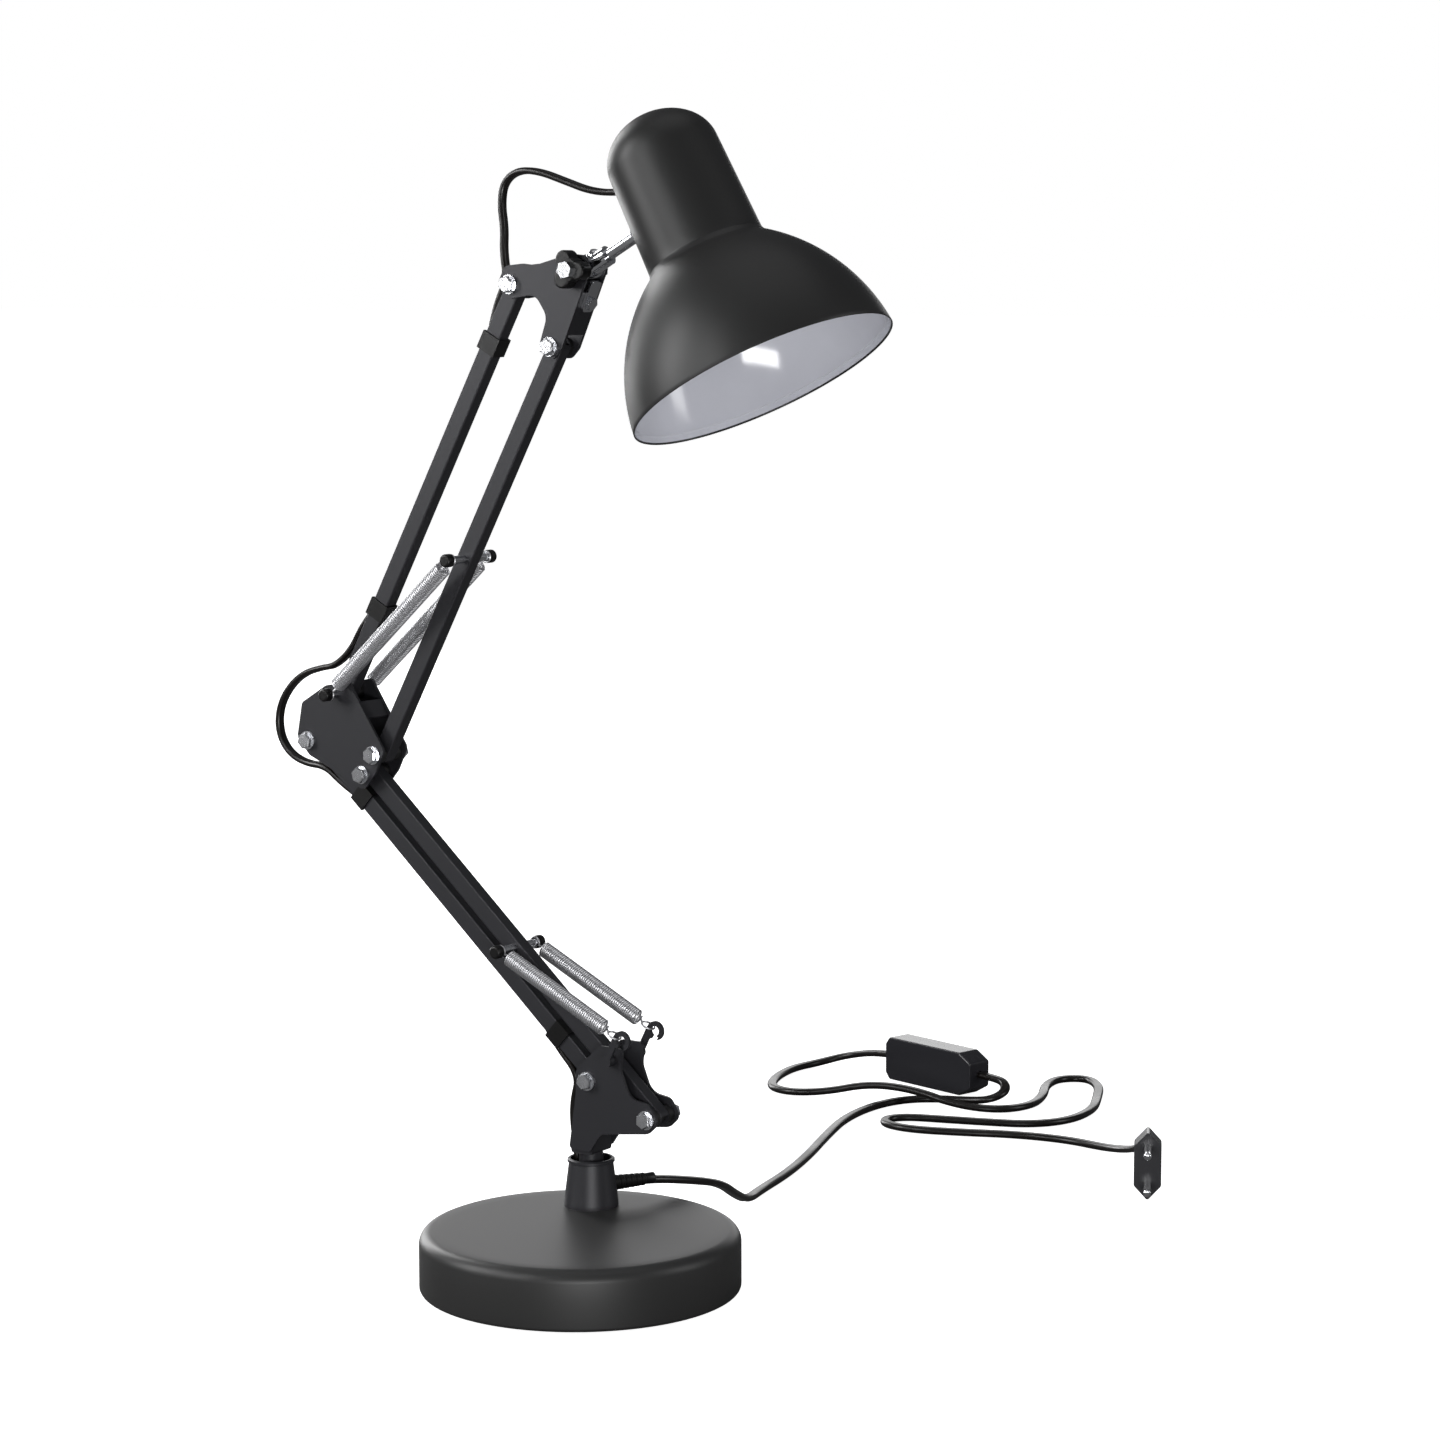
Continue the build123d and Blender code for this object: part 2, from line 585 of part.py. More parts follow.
# ---- head ---------------------------------------------------------------------------------------
def head_outline():
    corner = (T[0] + 6.8, T[1] + 0.5)
    return rounded([(F[0] - 6.4, F[1] + 1.0), (F[0] - 2.5, F[1] + 8.6), (F[0] + 8.0, F[1] + 9.6),
                    (F[0] + 15.0, F[1] + 8.8), (T[0] - 4.0, T[1] + 7.4), (T[0] + 4.5, T[1] + 6.6), corner,
                    (G[0] + 6.8, G[1] - 1.0), (G[0] + 1.0, G[1] - 7.0), (G[0] - 6.6, G[1] - 1.0),
                    (G[0] - 1.5, G[1] + 14.0), (F[0] + 15.0, F[1] - 4.5), (F[0] - 2.0, F[1] - 7.0)],
                   [3, 4, 6, 6, 3, 3, 2.5, 4, 4, 4, 7, 7, 4])


def web_line():
    """The head bracket's back edge, from below the knuckle down to the front pivot."""
    top = (T[0] + 6.8, T[1] + 0.5)
    bottom = (G[0] + 6.8, G[1] - 1.0)
    angle = degrees(atan2(bottom[1] - top[1], bottom[0] - top[0]))
    return top, angle


def head_bracket():
    top, angle = web_line()
    inset = -SHEET / 2 - 0.1
    body = channel(head_outline(), HEAD_HALF, step(top, angle, 12.5, inset), step(top, angle, 33.0, inset), [F, G, T])
    screw = clamp_screw_plane()
    return on_post(body - screw * Cylinder(1.5 + SEAT, 12))


def clamp_screw_plane():
    """On the web's outer face, Z pointing away from the bracket."""
    top, angle = web_line()
    point = step(top, angle, 16.5, 0.0)
    c, s = unit(angle + 90)
    return Plane(origin=(point[0], 0, point[1]), x_dir=(0, 1, 0), z_dir=(c, 0, s))


def clamp_plate():
    """Bright saddle plate screwed to the web, its upper lip bearing on the knuckle's boss."""
    top, angle = web_line()
    body = along(step(top, angle, 6.0, 0.9), angle, 15.0, 7.6, 1.6)
    body = fillet(body.edges().filter_by(lambda e: abs(e.length - 1.6) < 0.01), 1.5)
    return on_post(body - clamp_screw_plane() * Cylinder(1.5 + SEAT, 12))


def clamp_screw():
    shank = Pos(0, 0, -2.4) * Cylinder(1.5, 4.4, align=(Align.CENTER, Align.CENTER, Align.MIN))
    head = Pos(0, 0, 1.72) * extrude(RegularPolygon(3.2, 6), amount=2.0)
    return on_post(clamp_screw_plane() * (shank + head))


def tilt_bolt():
    """Carriage bolt through plates and knuckle: hex end sits in the knob."""
    head = hex_y(T, BOLT_AF, -HEAD_HALF - WASHER_T - KNOB_T - 2.2, -HEAD_HALF - WASHER_T - KNOB_T, 10)
    shank = bar_y(T, BOLT_D / 2, -HEAD_HALF - WASHER_T - KNOB_T - 0.5, HEAD_HALF + WASHER_T + NUT_H + 0.8)
    return on_post(head + shank)


def tilt_knob():
    """Three-lobed hand knob."""
    disc = Pos(*T) * Circle(KNOB_R * 0.62)
    for index in range(3):
        disc += Pos(*step(T, 115 + 120 * index, KNOB_R * 0.55)) * Circle(KNOB_R * 0.45)
    body = slab(disc, -HEAD_HALF - WASHER_T - KNOB_T, KNOB_T - 1.4)
    body += bar_y(T, KNOB_R * 0.5, -HEAD_HALF - WASHER_T - 1.5, -HEAD_HALF - WASHER_T)
    body = fillet(body.edges().group_by(Axis.Y)[0], 1.0)
    return on_post(body - bar_y(T, BOLT_D / 2 + SEAT, -40, 0))


ROD_ANGLE = SHADE_TILT
ROD_TAIL = 7.0            # rod's inner end, from the tilt axis
BOSS_END = 14.0           # end of the knuckle's boss, from the tilt axis


def cap_radius(station):
    """Outside radius of the cap at a height above the rim."""
    share = (station - BELL_H) / (CAP_STRAIGHT_Z - BELL_H)
    return NECK_R + (CAP_TOP_R - NECK_R) * share


def rod_plane(distance):
    point = step(T, ROD_ANGLE, distance)
    c, s = unit(ROD_ANGLE)
    return Plane(origin=(point[0], 0, point[1]), x_dir=(0, 1, 0), z_dir=(c, 0, s))


def disc_on_rod(radius, first, last):
    return rod_plane(first) * Cylinder(radius, last - first, align=(Align.CENTER, Align.CENTER, Align.MIN))


def tilt_knuckle():
    reach = HEAD_HALF - SHEET - SIDE_GAP
    body = bar_y(T, KNUCKLE_R, -reach, reach)
    body += disc_on_rod(4.7, 0, BOSS_END)
    dome_at = step(T, ROD_ANGLE, 6.4, 3.4)
    body += Pos(dome_at[0], 0, dome_at[1]) * Sphere(3.6)
    body -= bar_y(T, BOLT_D / 2 + RUN_GAP, -reach - 1, reach + 1)
    return on_post(body - disc_on_rod(ROD_D / 2 + RUN_GAP, ROD_TAIL - 0.6, BOSS_END + 5))


# ---- shade --------------------------------------------------------------------------------------
def shade_place(shape):
    """Puts a shape built about the shade's own axis (rim at Z 0, cap upwards) where it belongs."""
    axis_point = step(T, ROD_ANGLE, ROD_REACH)
    rim = step(axis_point, ROD_ANGLE + 90, -ROD_STATION)
    return on_post(Pos(rim[0], 0, rim[1]) * Rot(0, -SHADE_TILT, 0) * shape)


def shade_form(inset, foot):
    rim = (RIM_R - inset, -foot)
    middle = (BELL_MID[0] - inset, BELL_MID[1] - 0.45 * inset)
    neck = (NECK_R - inset, BELL_H)
    top = (CAP_TOP_R - inset, CAP_STRAIGHT_Z)
    dome = EllipticalCenterArc((0, CAP_STRAIGHT_Z), CAP_TOP_R - inset, SHADE_H - CAP_STRAIGHT_Z - inset,
                               start_angle=0, arc_size=90)
    outline = ThreePointArc(rim, middle, neck) + Line(neck, top) + dome
    outline += Line((0, SHADE_H - inset), (0, -foot)) + Line((0, -foot), rim)
    return revolve(Plane.XZ * make_face(outline), axis=Axis.Z)


def shade_hole(radius, station):
    """A round hole through the cap's wall on the arm's side."""
    return Pos(-CAP_TOP_R, 0, station) * Rot(0, 90, 0) * Cylinder(radius, 12)


def shade_shell():
    shell = shade_form(0.0, 0.0) - shade_form(SHADE_T, 0.5)
    shell += Pos(0, 0, BEAD_R) * Torus(RIM_R - BEAD_R * 0.6, BEAD_R)
    shell -= shade_hole(ROD_D / 2 + SEAT, ROD_STATION)
    shell -= shade_hole(SCREW_R + SEAT, ROD_STATION + SCREW_STEP)
    return shade_place(shell - shade_hole(LEAD_HOLE_R, LEAD_STATION))


def rod_stack():
    """Distances from the tilt axis: outer nut, cap's wall, bracket's leg, inner nut, rod's end."""
    wall = ROD_REACH - cap_radius(ROD_STATION)
    outer_nut = wall - NUT_GAP - ROD_NUT_T
    leg = wall + SHADE_T + LEG_GAP
    inner_nut = leg + LEG_T + SEAT
    return outer_nut, leg, inner_nut, inner_nut + ROD_NUT_T + 0.8


def shade_rod():
    """Bright rod: turns in the knuckle, fixed in the cap by two nuts."""
    return on_post(disc_on_rod(ROD_D / 2, ROD_TAIL, rod_stack()[3]))


def cap_screw():
    """Small screw above the rod, through the cap's wall and the bracket's leg."""
    station = ROD_STATION + SCREW_STEP
    outside = cap_radius(station) + 0.1
    head = Cylinder(2.6, 1.8, align=(Align.CENTER, Align.CENTER, Align.MIN))
    shank = Pos(0, 0, -4.0) * Cylinder(SCREW_R, 4.5, align=(Align.CENTER, Align.CENTER, Align.MIN))
    return shade_place(Pos(-outside, 0, station) * Rot(0, -90, 0) * (head + shank))


def shade_fixings():
    """Nuts each side of the cap's wall on the rod, and the small screw above the rod."""
    outer_nut, leg, inner_nut, end = rod_stack()
    bore = disc_on_rod(ROD_D / 2 + SEAT, outer_nut - 2, end + 2)
    nut_corner = ROD_D / 2 + 2.4
    made = [cap_screw()]
    for start in (outer_nut, inner_nut):
        nut = rod_plane(start) * extrude(RegularPolygon(nut_corner, 6), amount=ROD_NUT_T)
        made.append(on_post(nut - bore))
    return made


def lampholder():
    body = Pos(0, 0, (HOLDER_TOP + HOLDER_BOTTOM) / 2) * Cylinder(HOLDER_R, HOLDER_TOP - HOLDER_BOTTOM)
    body = fillet(body.edges().group_by(Axis.Z)[-1], 3.0)
    body = fillet(body.edges().group_by(Axis.Z)[0], 1.2)
    cup_r = THREAD_R + THREAD_T + SEAT
    cup_l = 2.5 + THREAD_L + CONTACT_ROOM + THREAD_T
    cup = Pos(0, 0, HOLDER_BOTTOM - 1) * Cylinder(cup_r, cup_l, align=(Align.CENTER, Align.CENTER, Align.MIN))
    return shade_place(body - cup)


def lampholder_thread():
    """The screw shell, open towards the rim, with the centre contact in a narrower room behind."""
    low = HOLDER_BOTTOM + 1.5
    room = low + THREAD_L
    end = room + CONTACT_ROOM
    seat = (Align.CENTER, Align.CENTER, Align.MIN)
    shell = Pos(0, 0, low) * Cylinder(THREAD_R + THREAD_T, end + THREAD_T - low, align=seat)
    shell -= Pos(0, 0, low) * Cylinder(THREAD_R, THREAD_L, align=seat)
    shell -= Pos(0, 0, room - 1) * Cylinder(THREAD_R - 3, CONTACT_ROOM + 1, align=seat)
    contact = Pos(0, 0, room + 0.5) * Cylinder(3.5, CONTACT_ROOM, align=seat)
    return shade_place(shell + contact)


def holder_bracket():
    """Angle strip: clamped by the rod's inner nut, its top leg on the holder's back."""
    leg_x = -ROD_REACH + rod_stack()[1] + LEG_T / 2
    low = ROD_STATION - 6.5
    high = HOLDER_TOP + LEG_T + SEAT
    leg = Pos(leg_x, 0, (low + high) / 2) * Box(LEG_T, LEG_W, high - low)
    top_leg = Pos((leg_x - LEG_T / 2) / 2, 0, high - LEG_T / 2) * Box(LEG_T / 2 - leg_x, LEG_W, LEG_T)
    pad = Pos(0, 0, high - LEG_T / 2) * Cylinder(9.0, LEG_T)
    hole = Pos(leg_x, 0, ROD_STATION) * Rot(0, 90, 0) * Cylinder(ROD_D / 2 + SEAT, 6)
    screw_hole = Pos(leg_x, 0, ROD_STATION + SCREW_STEP) * Rot(0, 90, 0) * Cylinder(SCREW_R + SEAT, 6)
    window = Pos(leg_x, 0, LEAD_STATION) * Rot(0, 90, 0) * Cylinder(LEAD_HOLE_R + 0.6, 6)
    return shade_place(leg + top_leg + pad - hole - screw_hole - window)


# ---- inline switch ------------------------------------------------------------------------------
def switch_place(shape):
    return Pos(SWITCH_AT[0], SWITCH_AT[1], SWITCH_H / 2) * Rot(0, 0, SWITCH_TURN) * shape


def switch_body():
    """Both halves together: long sides parallel, ends bevelled towards the cord."""
    half_l = SWITCH_L / 2
    outline = rounded([(-half_l, -8.5), (-half_l + 3, -SWITCH_H / 2), (half_l - 9, -SWITCH_H / 2), (half_l, -7.5),
                       (half_l, 7.5), (half_l - 9, SWITCH_H / 2), (-half_l + 3, SWITCH_H / 2), (-half_l, 8.5)], 2.0)
    body = slab(outline, -SWITCH_T / 2, SWITCH_T)
    body = fillet(body.edges().group_by(Axis.Y)[0], 1.0)
    body = fillet(body.edges().group_by(Axis.Y)[-1], 2.5)
    bore = Rot(0, 90, 0) * Cylinder(CORD_D / 2 + SEAT, SWITCH_L + 2)
    middle = Box(SWITCH_L - 2 * SWITCH_END_WALL, SWITCH_T - 5, SWITCH_H - 8)
    return body - bore - middle


def switch_cover():
    return switch_place(switch_body() & Pos(0, -SWITCH_T / 2, 0) * Box(100, SWITCH_T - 0.05, 60))


def switch_case():
    body = switch_body() & Pos(0, SWITCH_T / 2, 0) * Box(100, SWITCH_T - 0.05, 60)
    slot = Pos(0, SWITCH_T / 2, 0) * Box(ROCKER_L + 2 * ROCKER_GAP, 8, ROCKER_W + 2 * ROCKER_GAP)
    axle = Pos(0, ROCKER_AXIS_Y, 0) * Cylinder(AXLE_R + RUN_GAP, ROCKER_W + 2 * AXLE_REACH + 0.2)
    return switch_place(body - slot - axle)


def switch_rocker():
    """Rocker with an axle stub on each side, one end proud of the case."""
    half_l = ROCKER_L / 2
    foot = ROCKER_AXIS_Y - 1.0
    face = SWITCH_T / 2
    wedge = make_face(Polyline((-half_l, foot), (half_l, foot), (half_l, face - 0.1), (0, face + 0.7),
                               (-half_l + 0.9, face + ROCKER_TIP), (-half_l, face), close=True))
    body = extrude(Pos(0, 0, -ROCKER_W / 2) * wedge, amount=ROCKER_W)
    return switch_place(body + Pos(0, ROCKER_AXIS_Y, 0) * Cylinder(AXLE_R, ROCKER_W + 2 * AXLE_REACH))


def switch_end(side):
    """Centre of one end face, in the lamp's frame."""
    c, s = unit(SWITCH_TURN)
    return (SWITCH_AT[0] + side * c * SWITCH_L / 2, SWITCH_AT[1] + side * s * SWITCH_L / 2, SWITCH_H / 2)


# ---- plug -----------------------------------------------------------------------------------------
def plug_plane():
    """Origin at the face's centre, Z along the pins, X upwards along the plug's long side."""
    c, s = unit(PLUG_TURN)
    apex_half = atan2(PLUG_T / 2, PLUG_BEVEL)
    rest_z = PLUG_W / 2 - PLUG_TIP_R * (1 / sin(apex_half) - 1)
    return Plane(origin=(PLUG_FACE[0], PLUG_FACE[1], rest_z), x_dir=(0, 0, 1), z_dir=(c, s, 0))


def plug_outline():
    half_w = PLUG_W / 2
    half_t = PLUG_T / 2
    flat = half_w - PLUG_BEVEL
    points = [(-half_w, 0), (-flat, -half_t), (flat, -half_t), (half_w, 0), (flat, half_t), (-flat, half_t)]
    return rounded(points, [PLUG_TIP_R, 2.5, 2.5, PLUG_TIP_R, 2.5, 2.5])


def plug_body():
    head = extrude(plug_plane() * plug_outline(), amount=-14)
    tail = loft([plug_plane().offset(-14) * plug_outline(), plug_plane().offset(-PLUG_L) * Circle(CORD_D / 2 + 1.6)])
    body = head + tail
    for side in (-1, 1):
        body -= plug_plane() * (Pos(side * PLUG_PIN_GAP / 2, 0, 0) * Cylinder(PLUG_ROOT_D / 2 + SEAT, 2 * PLUG_ROOT_L))
    bore = Pos(0, 0, -PLUG_L - 1) * Cylinder(CORD_D / 2 + SEAT, 6, align=(Align.CENTER, Align.CENTER, Align.MIN))
    return body - plug_plane() * bore


def plug_pins():
    pins = []
    for side in (-1, 1):
        pin = Cylinder(PLUG_PIN_D / 2, PLUG_PIN_L, align=(Align.CENTER, Align.CENTER, Align.MIN))
        pin = fillet(pin.edges().group_by(Axis.Z)[-1], PLUG_PIN_TIP_R)
        pin += Cylinder(PLUG_ROOT_D / 2, PLUG_ROOT_L - 0.1, align=(Align.CENTER, Align.CENTER, Align.MAX))
        pins.append(plug_plane() * Pos(side * PLUG_PIN_GAP / 2, 0, 0) * pin)
    return pins


def plug_back(extra):
    point = plug_plane().from_local_coords((0, 0, -PLUG_L - extra))
    return (point.X, point.Y, point.Z)


# ---- routes ----------------------------------------------------------------------------------------
FLOOR = CORD_D / 2


def exit_point(distance):
    point = exit_plane().from_local_coords((0, 0, distance))
    return (point.X, point.Y, point.Z)


def switch_route():
    """From the collar over the base's back edge, down to the table and into the switch's right end."""
    start = exit_point(collar_radius(CORD_EXIT_Z) - 2.0)
    out = exit_point(collar_radius(CORD_EXIT_Z) + 18.0)
    end = switch_end(1)
    c, s = unit(SWITCH_TURN)
    return [start, out, (1.5, 92.0, 32.0), (1.0, 115.0, 25.5), (-6.0, 139.0, 13.5), (-15.0, 163.0, 4.4),
            (-25.0, 190.0, FLOOR), (-32.0, 226.0, FLOOR), (-44.0, 266.0, FLOOR), (-58.0, 304.0, FLOOR),
            (-72.0, 346.0, FLOOR), (-75.0, 382.0, FLOOR), (-68.0, 406.0, FLOOR), (-52.0, 418.5, FLOOR),
            (-36.0, 421.0, FLOOR + 0.6), (-21.8, 421.0, FLOOR + 2.6), (-16.6, 430.0, 8.0), (-21.8, 439.0, 11.3),
            (end[0] + 10 * c, end[1] + 10 * s, end[2]), (end[0] - 5 * c, end[1] - 5 * s, end[2])]


def plug_route():
    """From the switch's left end, a small turn, over the first cord, a wide loop and a fold, to the plug."""
    end = switch_end(-1)
    c, s = unit(SWITCH_TURN)
    return [(end[0] + 5 * c, end[1] + 5 * s, end[2]), (end[0] - 12 * c, end[1] - 12 * s, end[2]),
            (-146.0, 469.0, 6.5), (-160.0, 459.0, FLOOR), (-165.0, 438.0, FLOOR), (-160.0, 411.0, FLOOR),
            (-149.0, 389.0, FLOOR), (-132.0, 384.0, FLOOR), (-112.0, 391.0, FLOOR + 1.5), (-88.0, 399.0, 9.8),
            (-60.0, 401.0, 9.8), (-34.0, 404.0, FLOOR + 1.5), (-11.0, 412.0, FLOOR), (-1.0, 432.0, FLOOR),
            (-7.0, 457.0, FLOOR), (-19.0, 481.0, FLOOR), (-21.0, 501.0, FLOOR), (-7.0, 511.0, FLOOR),
            (8.0, 497.0, FLOOR), (21.0, 470.0, FLOOR), (33.0, 442.0, FLOOR), (34.0, 413.0, FLOOR),
            (21.0, 393.0, FLOOR), (-2.0, 384.0, FLOOR), (-26.0, 376.0, FLOOR), (-45.0, 370.0, FLOOR),
            (-53.0, 359.0, FLOOR), (-46.0, 348.0, FLOOR), (-28.0, 346.0, FLOOR), (-3.0, 355.0, FLOOR),
            (26.0, 368.0, FLOOR), (55.0, 373.0, FLOOR), (83.0, 365.0, FLOOR + 1), (105.0, 351.0, 8.0),
            plug_back(15.0), plug_back(-4.5)]


def head_lead_route():
    """Out of the upper rear bar's back, up in a loop and into the cap's side."""
    entry = step(step(step(T, ROD_ANGLE, ROD_REACH), ROD_ANGLE + 90, LEAD_STATION - ROD_STATION), ROD_ANGLE, -CAP_TOP_R)
    return [step(F, UPPER_ANGLE, -44.0, LEAD_IN), step(F, UPPER_ANGLE, -34.0, LEAD_IN),
            step(F, UPPER_ANGLE, -16.0, LEAD_OFF), step(F, UPPER_ANGLE, -1.0, LEAD_OFF + 0.4),
            (F[0] - 8.6, F[1] + 15.0), (F[0] - 8.0, F[1] + 26.0), (F[0] - 9.8, F[1] + 37.0), (F[0] - 8.0, F[1] + 47.5),
            (F[0] + 0.5, F[1] + 52.8), (F[0] + 13.0, F[1] + 52.0), (F[0] + 27.0, F[1] + 47.5),
            (F[0] + 42.0, F[1] + 42.6), step(entry, ROD_ANGLE - 20.0, -4.0), step(entry, ROD_ANGLE - 12.0, 4.0)]


def elbow_lead_route():
    """From the upper rear bar's back round a half loop into the lower rear bar's back."""
    back = LOWER_ANGLE + 180.0
    return [step(H, UPPER_ANGLE, 62.0, LEAD_IN), step(H, UPPER_ANGLE, 52.0, LEAD_IN),
            step(H, UPPER_ANGLE, 34.0, LEAD_OFF), step(H, UPPER_ANGLE, 20.0, LEAD_OFF + 0.4),
            (H[0] - 7.2, H[1] + 12.5), (A[0] + 2.5, A[1] + 35.5), (A[0] - 9.5, A[1] + 32.0), (A[0] - 19.5, A[1] + 24.0),
            (A[0] - 26.0, A[1] + 13.0), (A[0] - 26.2, A[1] + 1.0), (A[0] - 20.0, A[1] - 8.5), (A[0] - 9.0, A[1] - 13.2),
            step(A, back, 12.0, -LEAD_OFF - 1.0), step(A, back, 25.0, -LEAD_OFF), step(A, back, 43.0, -LEAD_IN),
            step(A, back, 53.0, -LEAD_IN)]


def base_lead_route():
    """Out of the lower rear bar near its lower pivot, down beside the stem and into the collar."""
    gap = STEM_D / 2 + LEAD_T / 2 + LEAD_GAP
    return [step(D, LOWER_ANGLE, 54.0, LEAD_IN), step(D, LOWER_ANGLE, 44.0, LEAD_IN),
            step(D, LOWER_ANGLE, 26.0, LEAD_OFF), step(D, LOWER_ANGLE, 8.0, LEAD_OFF + 0.8),
            (D[0] - 14.4, D[1] - 13.0), (D[0] - 14.4, D[1] - 24.0), (-gap - 0.3, 57.0), (-gap, 47.0), (-gap - 0.1, 38.0)]


def bar_lead(start, angle, first, last, side):
    """The lead's straight run inside a bar."""
    near = step(start, angle, first, side)
    far = step(start, angle, last, side)
    path = Line(Vector(near[0], 0, near[1]), Vector(far[0], 0, far[1]))
    tube = sweep(Plane(origin=path @ 0, x_dir=(0, 1, 0), z_dir=path % 0) * SlotOverall(LEAD_W, LEAD_T), path=path)
    return on_post(tube)


# ---- build every node ----------------------------------------------------------------------------
save("foot_pad", foot_pad_with_holes())
save("bottom_plate", bottom_plate())
save("base_screws", base_screws())
save("base_weight", base_weight())
save("base_shell", base_shell())
save("swivel_socket", swivel_socket())
save("collar", collar())
save("cord_grommet", cord_grommet())

save("lead_to_switch", round_cord("lead_to_switch", switch_route()))
save("switch_cover", switch_cover())
save("switch_case", switch_case())
save("switch_rocker", switch_rocker())
save("lead_to_plug", round_cord("lead_to_plug", plug_route()))
save("plug_body", plug_body())
save("plug_pins", plug_pins())

save("stem", stem())
save("lower_bracket", lower_bracket())
save("spring_hooks", spring_hooks())
save("lower_bolts", bolts([D, E], PLATE_HALF))
save("lower_nuts", nuts([D, E], PLATE_HALF))
save("lead_base_run", on_post(flat_lead("lead_base_run", base_lead_route())))

save("lower_rear_bar", bar(D, A, (), [SLOT_NEAR_D, BAR_SPAN - SLOT_NEAR_A - SLOT_L]))
save("lower_rear_bushes", bushes([D, A], PLATE_HALF))
save("lower_rear_sleeves", [sleeve(D, LOWER_ANGLE, 24.0), sleeve(D, LOWER_ANGLE, BAR_SPAN - 44.0)])
save("lower_rear_lead", bar_lead(D, LOWER_ANGLE, 54.0, BAR_SPAN - 53.0, LEAD_IN))

save("lower_front_bar", bar(E, C, [LOWER_PIN]))
save("lower_front_bushes", bushes([E, C], PLATE_HALF))
save("lower_cross_pin", cross_pin(LOWER_PIN, PIN_D))
save("lower_pin_caps", pin_caps(LOWER_PIN, PIN_D))
save("lower_springs", springs(LOWER_PIN, HOOK_AT, 6.0, 11.5, True))

save("elbow_bracket", elbow_bracket())
save("elbow_bolts", bolts([A, B, C], PLATE_HALF))
save("elbow_nuts", nuts([A, B, C], PLATE_HALF))
save("elbow_cross_pin", cross_pin(H, BOLT_D))
save("elbow_pin_caps", pin_caps(H, BOLT_D))
save("lead_elbow_loop", on_post(flat_lead("lead_elbow_loop", elbow_lead_route())))
save("upper_springs", springs(UPPER_PIN, H, 6.0, 7.0, False))

save("upper_rear_bar", bar(H, F, (), [SLOT_NEAR_H, BAR_SPAN - SLOT_NEAR_F - SLOT_L]))
save("upper_rear_bushes", bushes([H], PLATE_HALF) + bushes([F], HEAD_HALF))
save("upper_rear_sleeves", [sleeve(H, UPPER_ANGLE, 43.0), sleeve(H, UPPER_ANGLE, BAR_SPAN - 36.0)])
save("upper_rear_lead", bar_lead(H, UPPER_ANGLE, 62.0, BAR_SPAN - 44.0, LEAD_IN))

save("upper_front_bar", bar(B, G, [UPPER_PIN]))
save("upper_front_bushes", bushes([B], PLATE_HALF) + bushes([G], HEAD_HALF))
save("upper_cross_pin", cross_pin(UPPER_PIN, PIN_D))
save("upper_pin_caps", pin_caps(UPPER_PIN, PIN_D))

save("head_bracket", head_bracket())
save("head_bolts", bolts([F, G], HEAD_HALF))
save("head_nuts", nuts([F, G], HEAD_HALF) + nuts([T], HEAD_HALF))
save("clamp_plate", clamp_plate())
save("clamp_screw", clamp_screw())
save("tilt_bolt", tilt_bolt())
save("tilt_knob", tilt_knob())

save("tilt_knuckle", tilt_knuckle())
save("lead_head_loop", on_post(flat_lead("lead_head_loop", head_lead_route())))

save("shade_rod", shade_rod())
save("shade_fixings", shade_fixings())
save("shade_shell", shade_shell())
save("holder_bracket", holder_bracket())
save("lampholder", lampholder())
save("lampholder_thread", lampholder_thread())
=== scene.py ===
"""Looks of a swing arm desk lamp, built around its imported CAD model."""

import json
import logging
import math
from dataclasses import dataclass
from enum import Enum
from typing import Callable, Iterable, Sequence

import bpy
from mathutils import Matrix, Vector


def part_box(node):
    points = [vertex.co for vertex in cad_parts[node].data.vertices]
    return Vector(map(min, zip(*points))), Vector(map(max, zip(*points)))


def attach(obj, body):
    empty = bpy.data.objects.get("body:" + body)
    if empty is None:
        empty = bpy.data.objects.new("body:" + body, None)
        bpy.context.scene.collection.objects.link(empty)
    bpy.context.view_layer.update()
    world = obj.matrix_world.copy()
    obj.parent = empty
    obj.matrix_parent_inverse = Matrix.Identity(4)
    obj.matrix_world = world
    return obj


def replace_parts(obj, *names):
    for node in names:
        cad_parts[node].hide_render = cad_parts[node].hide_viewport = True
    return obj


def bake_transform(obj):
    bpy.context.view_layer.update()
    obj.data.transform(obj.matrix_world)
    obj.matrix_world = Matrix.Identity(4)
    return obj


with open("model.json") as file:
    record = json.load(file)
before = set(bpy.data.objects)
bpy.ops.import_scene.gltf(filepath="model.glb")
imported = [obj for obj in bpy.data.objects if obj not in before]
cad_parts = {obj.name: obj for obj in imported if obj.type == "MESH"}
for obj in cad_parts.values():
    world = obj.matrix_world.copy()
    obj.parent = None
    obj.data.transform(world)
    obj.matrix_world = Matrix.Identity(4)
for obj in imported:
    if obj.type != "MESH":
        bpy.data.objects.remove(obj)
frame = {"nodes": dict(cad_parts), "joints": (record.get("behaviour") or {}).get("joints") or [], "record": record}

LOG = logging.getLogger("desk_lamp")
MM = 0.001
DEEP_SHARE = 0.82         # a finish's deepest tone over its base colour
COAT_ROUGHNESS = 0.12
AXIS_RADIUS = 1e-7        # a lathe point nearer the axis than this is on it
LOOP_STEP = 12            # degrees between the points of a spring's end loops
FLOOR_DROP = 0.2 * MM     # floor below the lamp's foot
HOOK_RADIUS = 4.6 * MM    # outer radius of the post's spring hooks
Point2 = tuple[float, float]
Section = list[Point2]


